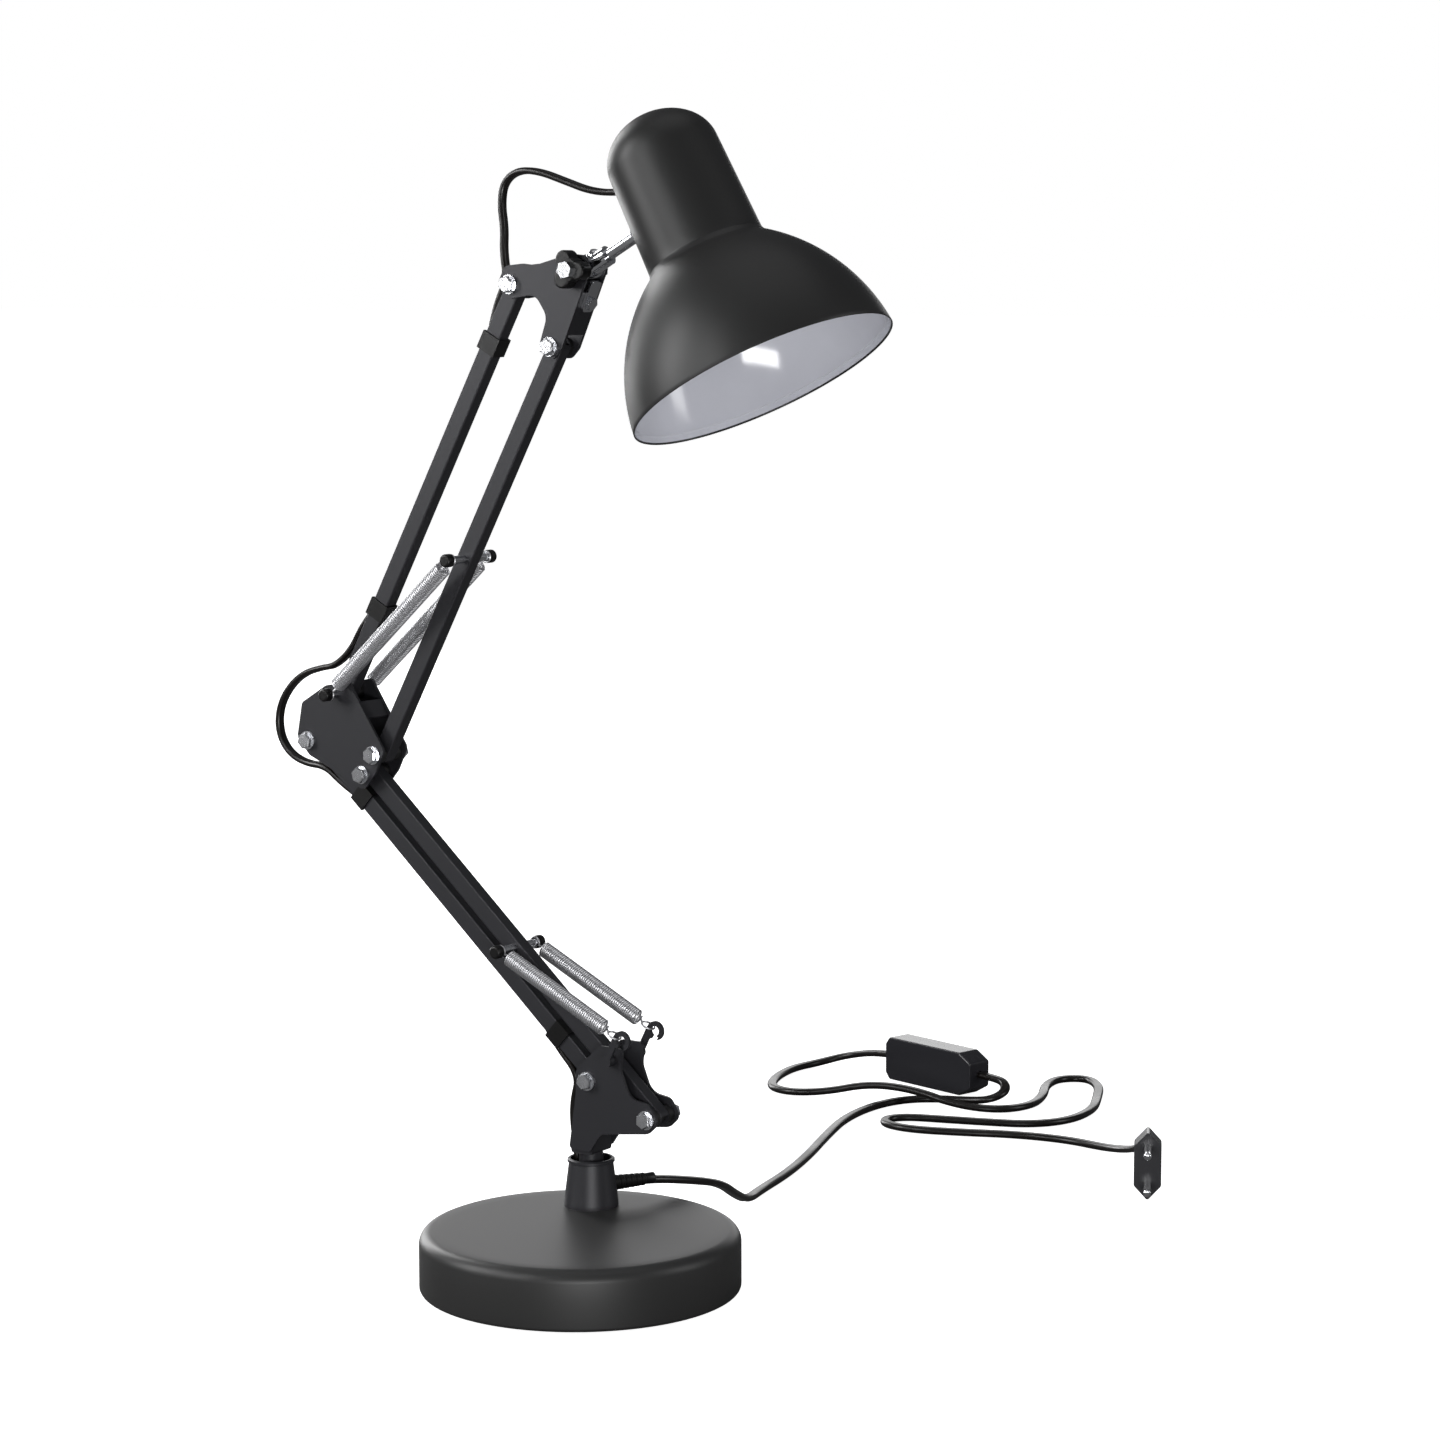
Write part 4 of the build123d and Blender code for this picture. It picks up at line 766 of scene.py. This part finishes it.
# ---- shade --------------------------------------------------------------------------------------
@dataclass
class Shade:
    """Bell shade with its cap, spun from one sheet.

    Attributes:
        rim: mouth radius.
        bell_middle: radius and height of a point halfway up the bell.
        neck: radius and height of the crease between bell and cap.
        cap_top: radius and height where the cap's dome begins.
        height: whole height above the rim.
        sheet: sheet thickness.
        crease: rounding of the crease.
        rod_station: rod's height above the rim.
        rod_reach: tilt axis to shade axis.
        lip_r: rounding of the rim's edge.
        bead_height: height of the bead inside the rim.
    """

    rim: float = 63.4 * MM
    bell_middle: Point2 = (55.2 * MM, 29.9 * MM)
    neck: Point2 = (27.8 * MM, 62.8 * MM)
    cap_top: Point2 = (26.5 * MM, 113.0 * MM)
    height: float = 134.5 * MM
    sheet: float = 0.8 * MM
    crease: float = 1.6 * MM
    rod_station: float = 90.0 * MM
    rod_reach: float = 62.0 * MM
    lip_r: float = 0.35 * MM
    bead_height: float = 3.6 * MM

    def place(self) -> Matrix:
        """Finds the shade's place.

        Returns:
            The move from the rim's centre, with Z up the cap, to the lamp's frame.
        """
        origin = LINKS.tilt + LINKS.rod_axis * self.rod_reach - LINKS.shade_up * self.rod_station
        turned = Matrix((LINKS.rod_axis, Vector((0, 1, 0)), LINKS.shade_up)).transposed().to_4x4()
        return Matrix.Translation(origin) @ turned

    def bell_arc(self) -> tuple[Point2, float]:
        """Finds the arc through rim, bell middle and neck.

        Returns:
            Its centre and its radius.
        """
        (ax, ay), (bx, by), (cx, cy) = (self.rim, 0.0), self.bell_middle, self.neck
        d = 2 * (ax * (by - cy) + bx * (cy - ay) + cx * (ay - by))
        a2, b2, c2 = ax * ax + ay * ay, bx * bx + by * by, cx * cx + cy * cy
        ux = (a2 * (by - cy) + b2 * (cy - ay) + c2 * (ay - by)) / d
        uy = (a2 * (cx - bx) + b2 * (ax - cx) + c2 * (bx - ax)) / d
        return (ux, uy), math.hypot(ax - ux, ay - uy)

    def skin(self, inset: float) -> Section:
        """One side of the sheet, from the rim to the top of the cap.

        Args:
            inset: distance inside the outer surface.

        Returns:
            The profile.
        """
        centre, radius = self.bell_arc()
        low = math.degrees(math.atan2(-centre[1], self.rim - centre[0]))
        high = math.degrees(math.atan2(self.neck[1] - centre[1], self.neck[0] - centre[0]))
        bell = arc(centre, radius - inset, low, high - 0.9, 34)
        bell = [(r, max(z, 0.0)) for r, z in bell]
        side = [(self.neck[0] - inset + self.crease * f * f, self.neck[1] + self.crease * (1 - f) * 1.1)
                for f in (0.55, 0.25, 0.0)]
        lift = [self.neck[1] + (self.cap_top[1] - self.neck[1]) * f for f in (0.12, 0.4, 0.7, 1.0)]
        slope = (self.cap_top[0] - self.neck[0]) / (self.cap_top[1] - self.neck[1])
        cap = [(self.neck[0] - inset + slope * (z - self.neck[1]), z) for z in lift]
        top_r = self.cap_top[0] - inset
        top_h = self.height - self.cap_top[1] - inset
        turns = [math.radians(a) for a in range(6, 90, 6)]
        dome = [(top_r * math.cos(a), self.cap_top[1] + top_h * math.sin(a)) for a in turns]
        return bell + side + cap + dome + [(0.0, self.height - inset)]

    def shell(self) -> bpy.types.Object:
        """Turns the outer paint, the inner enamel and the rolled rim between them.

        Returns:
            The object.
        """
        outer = [p for p in self.skin(0.0) if p[1] > 0.5 * MM]
        inner = [p for p in reversed(self.skin(self.sheet)) if p[1] > self.bead_height + 0.6 * MM]
        edge_r = self.rim - self.sheet
        bead: Section = [(edge_r - 0.75 * MM, self.bead_height + 0.4 * MM),
                         (edge_r - 0.15 * MM, self.bead_height), (edge_r + 0.1 * MM, 0.9 * MM)]
        lip = arc((self.rim - self.lip_r, self.lip_r), self.lip_r, 200, 350, 5)
        profile = lip + outer + inner + bead
        painted = len(lip) + len(outer) - 1
        last = len(lip) + len(outer) + len(inner)

        def slot_of(run: int) -> int:
            """Paint outside and round the lip, enamel inside.

            Args:
                run: number of the profile's run.

            Returns:
                The material slot.
            """
            return 1 if painted <= run < last + 2 else 0

        return lathe("shade", profile, self.place(), [Look.SHADE_PAINT, Look.SHADE_ENAMEL], slot_of,
                     steps=192)

    def build(self) -> None:
        """Builds and fits the shade."""
        steer(self.shell(), "shade", "shade_paint", "shade_shell")


# ---- springs ------------------------------------------------------------------------------------
@dataclass
class SpringPair:
    """Two close-wound tension springs, one each side of the arm.

    Attributes:
        name: first part of the pieces' names.
        pin: centre of the pin that carries the coil's upper end.
        hold: centre of the hook's eye or lower pin.
        hooked: whether the lower end goes through a hook.
        bodies: body at the hold, body at the pin.
        node: CAD node that they replace.
        side_gap: springs' distance from the arm's middle plane.
        coil_r: radius of the wire's centre line.
        wire_r: wire radius.
        pitch: advance of one turn.
        pin_free: coil's end from the pin.
        hold_free: coil's end from the hold.
        eye: radius of the end loop round a pin.
        hook_eye: radius of the end loop through a hook.
        hook_shift: that loop's centre from the hold, less its radius.
        neck_share: where the wire leaves the coil, as a share of coil_r.
        neck: length of wire between the coil and the loop.
        turn_steps: runs in one turn.
    """

    name: str
    pin: Vector
    hold: Vector
    hooked: bool
    bodies: tuple[str, str]
    node: str
    side_gap: float = 13.7 * MM
    coil_r: float = 3.5 * MM
    wire_r: float = 0.5 * MM
    pitch: float = 1.16 * MM
    pin_free: float = 6.0 * MM
    hold_free: float = 7.0 * MM
    eye: float = 2.6 * MM
    hook_eye: float = 3.2 * MM
    hook_shift: float = 1.55 * MM
    neck_share: float = 0.45
    neck: float = 0.6 * MM
    turn_steps: int = 14

    def wire(self, side: int) -> list[Vector]:
        """Centre line of one spring's wire.

        Args:
            side: -1 near, 1 far.

        Returns:
            The points.
        """
        off = Vector((0.0, side * self.side_gap, 0.0))
        run = self.pin - self.hold
        length = run.length
        along = run.normalized()
        across = Vector((0.0, 1.0, 0.0))
        third = along.cross(across)
        hook, eye, coil = self.hook_eye, self.eye, self.coil_r

        def at(distance: float, a: float = 0.0, b: float = 0.0) -> Vector:
            """A point of the wire.

            Args:
                distance: metres from the hold towards the pin.
                a: metres off that line, across the arm.
                b: metres off it, square to both.

            Returns:
                The point.
            """
            return self.hold + off + along * distance + across * a + third * b

        def turns_from(start: int, count: int, turn: int = LOOP_STEP) -> list[float]:
            """Angles of an end loop's points.

            Args:
                start: first angle in degrees.
                count: number of points.
                turn: degrees between them.

            Returns:
                The angles in radians.
            """
            return [math.radians(start + turn * i) for i in range(count)]

        if self.hooked:
            centre = self.hook_shift + hook
            points = [at(centre - hook * math.cos(t), hook * math.sin(t))
                      for t in turns_from(200, 31, -LOOP_STEP)]
        else:
            points = [at(eye * math.cos(t), 0.0, eye * math.sin(t)) for t in turns_from(40, 27)]
        first, last = self.hold_free, length - self.pin_free
        turns = (last - first) / self.pitch
        steps = int(turns * self.turn_steps)
        points.append(at(first - self.neck, coil * self.neck_share))
        for i in range(steps + 1):
            t = 2 * math.pi * turns * i / steps
            points.append(at(first + (last - first) * i / steps, coil * math.cos(t), coil * math.sin(t)))
        points.append(at(last + self.neck, coil * self.neck_share))
        points += [at(length + eye * math.cos(t), 0.0, eye * math.sin(t)) for t in turns_from(180, 28)]
        return points

    def build(self) -> None:
        """Builds both springs."""
        for side, label in ((-1, "near"), (1, "far")):
            piece = sweep(f"{self.name}_spring_{label}", self.wire(side), disc(self.wire_r, 7),
                          Look.SPRING_WIRE)
            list(self.bodies)
            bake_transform(piece)
            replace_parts(piece, self.node)
            LOG.info("%s spans %s", piece.name, self.bodies)


# ---- lead ---------------------------------------------------------------------------------------
@dataclass
class ArmLead:
    """The flat lead's visible loops between the bars.

    Attributes:
        width: across the lead.
        height: its thickness.
        groove: depth of the groove between its cores.
        inside: offset of its centre line inside a bar.
        outside: the same, just outside a bar.
        cap_radius: cap's radius where the lead enters.
        entry_station: lead's entry above the rod.
        entry_fall: how far the lead leans off the rod's direction there, in degrees.
        stem_gap: centre line's distance from the post's axis beside the stem, in millimetres.
    """

    width: float = 5.0 * MM
    height: float = 3.2 * MM
    groove: float = 0.35 * MM
    inside: float = 1.7 * MM
    outside: float = 6.4 * MM
    cap_radius: float = 26.5 * MM
    entry_station: float = 21.0 * MM
    entry_fall: float = 20.0
    stem_gap: float = 7.5

    @staticmethod
    def near(origin: Vector, x: float, z: float) -> Vector:
        """A point by its millimetres from a pivot.

        Args:
            origin: the pivot.
            x: millimetres along X.
            z: millimetres along Z.

        Returns:
            The point.
        """
        return origin + Vector((x * MM, 0.0, z * MM))

    @staticmethod
    def beside(first: Vector, last: Vector, *stations: Point2) -> list[Vector]:
        """Points along a bar.

        Args:
            first: the pivot that they start from.
            last: the bar's other pivot.
            stations: for each point, millimetres from first and metres to the left.

        Returns:
            The points.
        """
        return [LINKS.between(first, last, distance * MM, side) for distance, side in stations]

    def head_route(self) -> list[Vector]:
        """From inside the upper rear bar, up in a loop and into the cap.

        Returns:
            The control points.
        """
        top, foot = LINKS.head_rear, LINKS.upper_rear
        cap = (LINKS.tilt + LINKS.rod_axis * (Shade.rod_reach - self.cap_radius)
               + LINKS.shade_up * self.entry_station)
        loop = [(-8.6, 15.0), (-8.0, 26.0), (-9.8, 37.0), (-8.0, 47.5), (0.5, 52.8), (13.0, 52.0),
                (27.0, 47.5), (42.0, 42.6)]
        route = self.beside(top, foot, (44, -self.inside), (34, -self.inside), (16, -self.outside),
                            (1, -self.outside - 0.4 * MM))
        route += [self.near(top, x, z) for x, z in loop]
        slope = Matrix.Rotation(math.radians(self.entry_fall), 3, "Y") @ LINKS.rod_axis
        return route + [cap - slope * 4 * MM, cap + slope * 4 * MM]

    def elbow_route(self) -> list[Vector]:
        """From the upper rear bar's back round a half loop into the lower rear bar.

        Returns:
            The control points.
        """
        low, high = LINKS.upper_rear, LINKS.head_rear
        rear, foot = LINKS.elbow_rear, LINKS.lower_rear
        loop = [(2.5, 35.5), (-9.5, 32.0), (-19.5, 24.0), (-26.0, 13.0), (-26.2, 1.0), (-20.0, -8.5),
                (-9.0, -13.2)]
        route = self.beside(low, high, (62, self.inside), (52, self.inside), (34, self.outside),
                            (20, self.outside + 0.4 * MM))
        route += [self.near(low, -7.2, 12.5)] + [self.near(rear, x, z) for x, z in loop]
        return route + self.beside(rear, foot, (12, -self.outside - 1 * MM), (25, -self.outside),
                                   (43, -self.inside), (53, -self.inside))

    def base_route(self) -> list[Vector]:
        """Out of the lower rear bar, down beside the stem and into the collar.

        Returns:
            The control points.
        """
        foot, rear = LINKS.lower_rear, LINKS.elbow_rear
        gap = self.stem_gap
        post = Vector((LINKS.post.x, LINKS.post.y, 0.0))
        route = self.beside(foot, rear, (54, self.inside), (44, self.inside), (26, self.outside),
                            (8, self.outside + 0.8 * MM))
        route += [self.near(foot, -14.4, -13.0), self.near(foot, -14.4, -24.0)]
        drop = [(-gap - 0.3, 57.0), (-gap, 47.0), (-gap - 0.1, 38.0)]
        return route + [self.near(post, x, z) for x, z in drop]

    def strip(self, name: str, line: Sequence[Vector], first: int, last: int,
              bodies: tuple[str, str]) -> bpy.types.Object:
        """One stretch of a loop that runs between two bodies.

        Args:
            name: piece name.
            line: the whole loop's smooth line.
            first: number of the stretch's first point.
            last: number of its last point.
            bodies: body at the first end, body at the last end.

        Returns:
            The object.
        """
        part = list(line[first:last + 1])
        outline = twin_section(self.width, self.height, self.groove)
        piece = sweep(name, part, outline, Look.LEAD_SHEATH, Vector((0.0, 1.0, 0.0)))
        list(bodies)
        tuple(part[0])
        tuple(part[-1])
        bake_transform(piece)
        LOG.info("%s bends between %s", name, bodies)
        return piece

    def build(self) -> None:
        """Builds the three loops."""
        head = nurbs_line("head_loop_line", self.head_route())
        third = len(head) // 3
        for name, first, last, bodies in (
                ("lead_head_rise", 0, third, ("upper_rear", "head")),
                ("lead_head_arch", third, 2 * third, ("head", "knuckle")),
                ("lead_head_entry", 2 * third, len(head) - 1, ("knuckle", "shade"))):
            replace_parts(self.strip(name, head, first, last, bodies), "lead_head_loop")
        elbow = nurbs_line("elbow_loop_line", self.elbow_route())
        half = len(elbow) // 2
        for name, first, last, bodies in (
                ("lead_elbow_upper", 0, half, ("upper_rear", "elbow")),
                ("lead_elbow_lower", half, len(elbow) - 1, ("elbow", "lower_rear"))):
            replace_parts(self.strip(name, elbow, first, last, bodies), "lead_elbow_loop")
        base = nurbs_line("base_run_line", self.base_route())
        run = self.strip("lead_base", base, 0, len(base) - 1, ("lower_rear", "swivel"))
        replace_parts(run, "lead_base_run")


@dataclass
class FloorLead:
    """The free lead on the table: collar to switch, and switch to plug.

    Attributes:
        width: across the flat lead.
        height: its thickness.
        groove: depth of the groove between its cores.
        exit_height: height of the hole in the collar.
        exit_angle: direction of that hole from +X, in degrees.
        exit_radius: distance of the collar's wall from the post's axis.
        switch_turn: direction of the switch from +X, in degrees.
        switch_middle: X and Y of the switch's middle.
        switch_length: length of the switch.
        plug_turn: direction of the plug's pins, in degrees.
        plug_face: X and Y of the middle of its face.
        plug_length: length of the plug behind its face.
    """

    width: float = 5.6 * MM
    height: float = 3.8 * MM
    groove: float = 0.35 * MM
    exit_height: float = 38.0 * MM
    exit_angle: float = 61.0
    exit_radius: float = 12.1 * MM
    switch_turn: float = -14.2
    switch_middle: Point2 = (-74.6 * MM, 452.5 * MM)
    switch_length: float = 69.0 * MM
    plug_turn: float = -63.0
    plug_face: Point2 = (145.0 * MM, 291.0 * MM)
    plug_length: float = 30.0 * MM

    @staticmethod
    def heading(angle: float) -> Vector:
        """Level direction.

        Args:
            angle: degrees from +X.

        Returns:
            The direction.
        """
        return Vector((math.cos(math.radians(angle)), math.sin(math.radians(angle)), 0.0))

    def exit(self, distance: float) -> Vector:
        """A point on the collar hole's axis.

        Args:
            distance: metres outside the collar's wall.

        Returns:
            The point.
        """
        axis = Vector((LINKS.post.x, LINKS.post.y, self.exit_height))
        return axis + self.heading(self.exit_angle) * (self.exit_radius + distance)

    def switch_end(self, side: int, distance: float) -> Vector:
        """A point on the switch's long axis.

        Args:
            side: 1 for the end that the first stretch enters, -1 for the other.
            distance: metres outside that end.

        Returns:
            The point.
        """
        middle = Vector((*self.switch_middle, centre_of("switch_cover", "switch_case").z))
        return middle + self.heading(self.switch_turn) * side * (self.switch_length / 2 + distance)

    def plug_back(self, distance: float) -> Vector:
        """A point behind the plug.

        Args:
            distance: metres behind the plug's back.

        Returns:
            The point.
        """
        face = Vector((*self.plug_face, centre_of("plug_body").z))
        return face - self.heading(self.plug_turn) * (self.plug_length + distance)

    def switch_route(self) -> list[Vector]:
        """Collar, over the base's edge, down to the table and round into the switch.

        Returns:
            The control points.
        """
        floor = self.height / 2 / MM + 0.1
        middle = [(1.5, 92.0, 32.0), (1.0, 115.0, 25.5), (-6.0, 139.0, 13.5), (-15.0, 163.0, 4.4),
                  (-25.0, 190.0, floor), (-32.0, 226.0, floor), (-44.0, 266.0, floor), (-58.0, 304.0, floor),
                  (-72.0, 346.0, floor), (-75.0, 382.0, floor), (-68.0, 406.0, floor), (-52.0, 418.5, floor),
                  (-36.0, 421.0, floor + 0.6), (-21.8, 421.0, 4.7), (-16.6, 430.0, 8.0), (-21.8, 439.0, 11.3)]
        return ([self.exit(-2 * MM), self.exit(18 * MM)] + [Vector(p) * MM for p in middle]
                + [self.switch_end(1, 10 * MM), self.switch_end(1, -5 * MM)])

    def plug_route(self) -> list[Vector]:
        """Switch, a small turn, over the first lead, a wide loop and a fold, to the plug.

        Returns:
            The control points.
        """
        floor = self.height / 2 / MM + 0.1
        middle = [(-146.0, 469.0, 6.5), (-160.0, 459.0, floor), (-165.0, 438.0, floor),
                  (-160.0, 411.0, floor), (-149.0, 389.0, floor), (-132.0, 384.0, floor), (-112.0, 391.0, 3.6),
                  (-88.0, 399.0, 9.8), (-60.0, 401.0, 9.8), (-34.0, 404.0, 3.6), (-11.0, 412.0, floor),
                  (-1.0, 432.0, floor), (-7.0, 457.0, floor), (-19.0, 481.0, floor), (-21.0, 501.0, floor),
                  (-7.0, 511.0, floor), (8.0, 497.0, floor), (21.0, 470.0, floor), (33.0, 442.0, floor),
                  (34.0, 413.0, floor), (21.0, 393.0, floor), (-2.0, 384.0, floor), (-26.0, 376.0, floor),
                  (-45.0, 370.0, floor), (-53.0, 359.0, floor), (-46.0, 348.0, floor), (-28.0, 346.0, floor),
                  (-3.0, 355.0, floor), (26.0, 368.0, floor), (55.0, 373.0, floor), (83.0, 365.0, floor + 1),
                  (105.0, 351.0, 8.0)]
        return ([self.switch_end(-1, -5 * MM), self.switch_end(-1, 12 * MM)]
                + [Vector(p) * MM for p in middle] + [self.plug_back(15 * MM), self.plug_back(-4.5 * MM)])

    def lay(self, name: str, route: Sequence[Vector], node: str, exit_point: Vector) -> None:
        """Args:
            name: piece name.
            route: control points.
            node: CAD node that it replaces.
            exit_point: where it leaves what it comes out of; not used.
        """
        line = nurbs_line(f"{name}_line", route, 12)
        outline = twin_section(self.width, self.height, self.groove)
        piece = sweep(name, line, outline, Look.LEAD_SHEATH, level=True)
        steer(piece, "base", "lead_pvc", node)
        length = sum((b - a).length for a, b in zip(line, line[1:]))
        LOG.info("%s is %.0f mm long", name, length / MM)
        [tuple(p) for p in line]

    def build(self) -> None:
        """Builds both stretches."""
        self.lay("lead_collar_to_switch", self.switch_route(), "lead_to_switch", self.exit(0.0))
        self.lay("lead_switch_to_plug", self.plug_route(), "lead_to_plug", self.switch_end(-1, 0.0))


# ---- carried CAD pieces --------------------------------------------------------------------------
SLOT_LOOKS: dict[str, Look] = {
    "base_paint": Look.BASE_PAINT, "arm_paint": Look.ARM_PAINT, "shade_paint": Look.SHADE_PAINT,
    "zinc": Look.ZINC, "bright": Look.BRIGHT, "spring_wire": Look.SPRING_WIRE,
    "black_plastic": Look.SATIN_PLASTIC, "gloss_plastic": Look.GLOSS_PLASTIC, "lead_pvc": Look.LEAD_SHEATH,
    "pad_rubber": Look.PAD_RUBBER, "iron": Look.CAST_IRON, "nylon": Look.NYLON, "steel": Look.STEEL,
    "holder_plastic": Look.HOLDER, "brass": Look.BRASS}


def dress_carried_nodes() -> None:
    """Gives every CAD node the finish that its record slot names."""
    for entry in frame["record"]["subparts"]:
        node = frame["nodes"][entry["node"]]
        node.data.materials.clear()
        node.data.materials.append(SLOT_LOOKS[entry["material_slot"]].value.material())
        LOG.info("%s is dressed as %s", entry["node"], entry["material_slot"])


# ---- studio --------------------------------------------------------------------------------------
@dataclass
class Studio:
    """Camera, soft lights and a plain pale floor.

    Attributes:
        eye: camera position.
        gaze: camera direction.
        lens: focal length in millimetres.
        sensor: width of the camera's frame in millimetres.
        floor_size: side of the floor.
        floor_glow: light that the floor adds to what it reflects.
        paper: floor's light tone.
        paper_deep: floor's deeper tone.
        bounce: floor's tone as a source of bounced light.
        ambient: strength of the light from all round.
    """

    eye: tuple[float, float, float] = (0.9634, -1.3127, 0.4714)
    gaze: tuple[float, float, float] = (-0.55468, 0.82265, -0.12477)
    lens: float = 89.74
    sensor: float = 36.0
    floor_size: float = 60.0
    floor_glow: float = 0.93
    paper: tuple[float, float, float] = (0.92, 0.92, 0.92)
    paper_deep: tuple[float, float, float] = (0.88, 0.88, 0.88)
    bounce: tuple[float, float, float] = (0.16, 0.16, 0.16)
    ambient: float = 0.1

    def camera(self) -> None:
        """Places the camera, with no roll, at the viewing angle."""
        data = bpy.data.cameras.new("camera")
        data.lens = self.lens
        data.sensor_width = self.sensor
        data.clip_end = 50.0
        holder = bpy.data.objects.new("camera", data)
        holder.location = self.eye
        holder.rotation_euler = Vector(self.gaze).to_track_quat("-Z", "Y").to_euler()
        bpy.context.scene.collection.objects.link(holder)
        bpy.context.scene.camera = holder

    @staticmethod
    def softbox(name: str, place: Sequence[float], aim: Sequence[float], size: Point2, power: float) -> None:
        """Hangs one rectangular soft light.

        Args:
            name: light name.
            place: position.
            aim: point that it faces.
            size: width and height.
            power: watts.
        """
        data = bpy.data.lights.new(name, "AREA")
        data.shape = "RECTANGLE"
        data.size, data.size_y = size
        data.energy = power
        holder = bpy.data.objects.new(name, data)
        holder.location = place
        holder.rotation_euler = (Vector(aim) - Vector(place)).to_track_quat("-Z", "Y").to_euler()
        holder.visible_camera = False
        bpy.context.scene.collection.objects.link(holder)

    def floor(self) -> None:
        """Lays the pale floor, which the camera sees glowing and other rays see as a darker, plain one."""
        made = bpy.data.materials.new("pale_floor")
        made.use_nodes = True
        sheet = NodeSheet(made.node_tree)
        paper = sheet.add("ShaderNodeBsdfPrincipled")
        paper.inputs["Roughness"].default_value = 0.9
        place = sheet.add("ShaderNodeTexCoord").outputs["Object"]
        tone = sheet.blend(sheet.noise(place, 14.0), self.paper_deep, self.paper)
        sheet.join(tone, paper.inputs["Base Color"])
        glow = sheet.add("ShaderNodeEmission")
        glow.inputs["Strength"].default_value = self.floor_glow
        both = sheet.add("ShaderNodeAddShader")
        sheet.join(paper.outputs[0], both.inputs[0])
        sheet.join(glow.outputs[0], both.inputs[1])
        dull = sheet.add("ShaderNodeBsdfDiffuse")
        dull.inputs["Color"].default_value = (*self.bounce, 1.0)
        sheet.seen_or_lit(dull, both, "ShaderNodeOutputMaterial")
        half = self.floor_size / 2
        data = bpy.data.meshes.new("floor")
        corners = [(-half, -half, 0), (half, -half, 0), (half, half, 0), (-half, half, 0)]
        data.from_pydata(corners, [], [(0, 1, 2, 3)])
        data.materials.append(made)
        floor = bpy.data.objects.new("floor", data)
        floor.location.z = -FLOOR_DROP
        bpy.context.scene.collection.objects.link(floor)

    def surroundings(self) -> None:
        """White to look at, much softer as a source of light."""
        world = bpy.data.worlds.new("studio")
        world.use_nodes = True
        sheet = NodeSheet(world.node_tree)
        seen = sheet.add("ShaderNodeBackground")
        seen.inputs["Color"].default_value = (1.0, 1.0, 1.0, 1.0)
        seen.inputs["Strength"].default_value = 1.0
        lit = sheet.add("ShaderNodeBackground")
        lit.inputs["Color"].default_value = (0.93, 0.95, 1.0, 1.0)
        lit.inputs["Strength"].default_value = self.ambient
        sheet.seen_or_lit(lit, seen, "ShaderNodeOutputWorld")
        bpy.context.scene.world = world

    def build(self) -> None:
        """Sets up camera, lights and floor."""
        self.camera()
        self.surroundings()
        self.floor()
        middle = (0.0, 0.04, 0.28)
        self.softbox("window_near", (-0.3, -1.25, 0.85), (0.06, 0.04, 0.45), (0.14, 0.95), 6.0)
        self.softbox("window_left", (-1.05, -0.85, 0.85), (0.06, 0.04, 0.45), (0.3, 0.95), 13.0)
        self.softbox("front_left", (-1.1, -1.65, 0.3), middle, (1.3, 1.3), 1.1)
        self.softbox("rim_left", (-1.7, 0.7, 0.75), middle, (0.5, 1.5), 20.0)
        self.softbox("back_wall", (-1.5, 2.3, 0.55), (0.0, 0.0, 0.1), (2.6, 0.9), 15.0)
        self.softbox("right_side", (1.9, 0.9, 0.9), middle, (0.5, 1.2), 9.0)
        self.softbox("overhead", (0.1, 0.2, 2.2), middle, (1.6, 1.6), 4.0)
        self.softbox("mouth_fill", (0.7, -0.85, 0.06), (0.09, 0.04, 0.44), (0.6, 0.3), 9.0)
        bpy.context.scene.view_settings.view_transform = "Standard"


def main() -> None:
    """Builds the lamp's looks around its frame."""
    logging.basicConfig(level=logging.INFO, format="%(name)s: %(message)s")
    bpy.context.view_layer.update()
    dress_carried_nodes()
    Studio().build()
    lead = FloorLead()
    lead.build()
    Base().build(lead.exit(0.0), lead.heading(lead.exit_angle))
    Shade().build()
    hooks_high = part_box("spring_hooks")[1]
    hook = Vector((hooks_high.x - HOOK_RADIUS, LINKS.post.y, hooks_high.z - HOOK_RADIUS))
    SpringPair("lower", centre_of("lower_cross_pin"), hook, True, ("swivel", "lower_front"),
               "lower_springs", hold_free=11.5 * MM).build()
    SpringPair("upper", centre_of("upper_cross_pin"), LINKS.upper_rear.copy(), False,
               ("elbow", "upper_front"), "upper_springs").build()
    ArmLead().build()


if __name__ == "__main__":
    main()
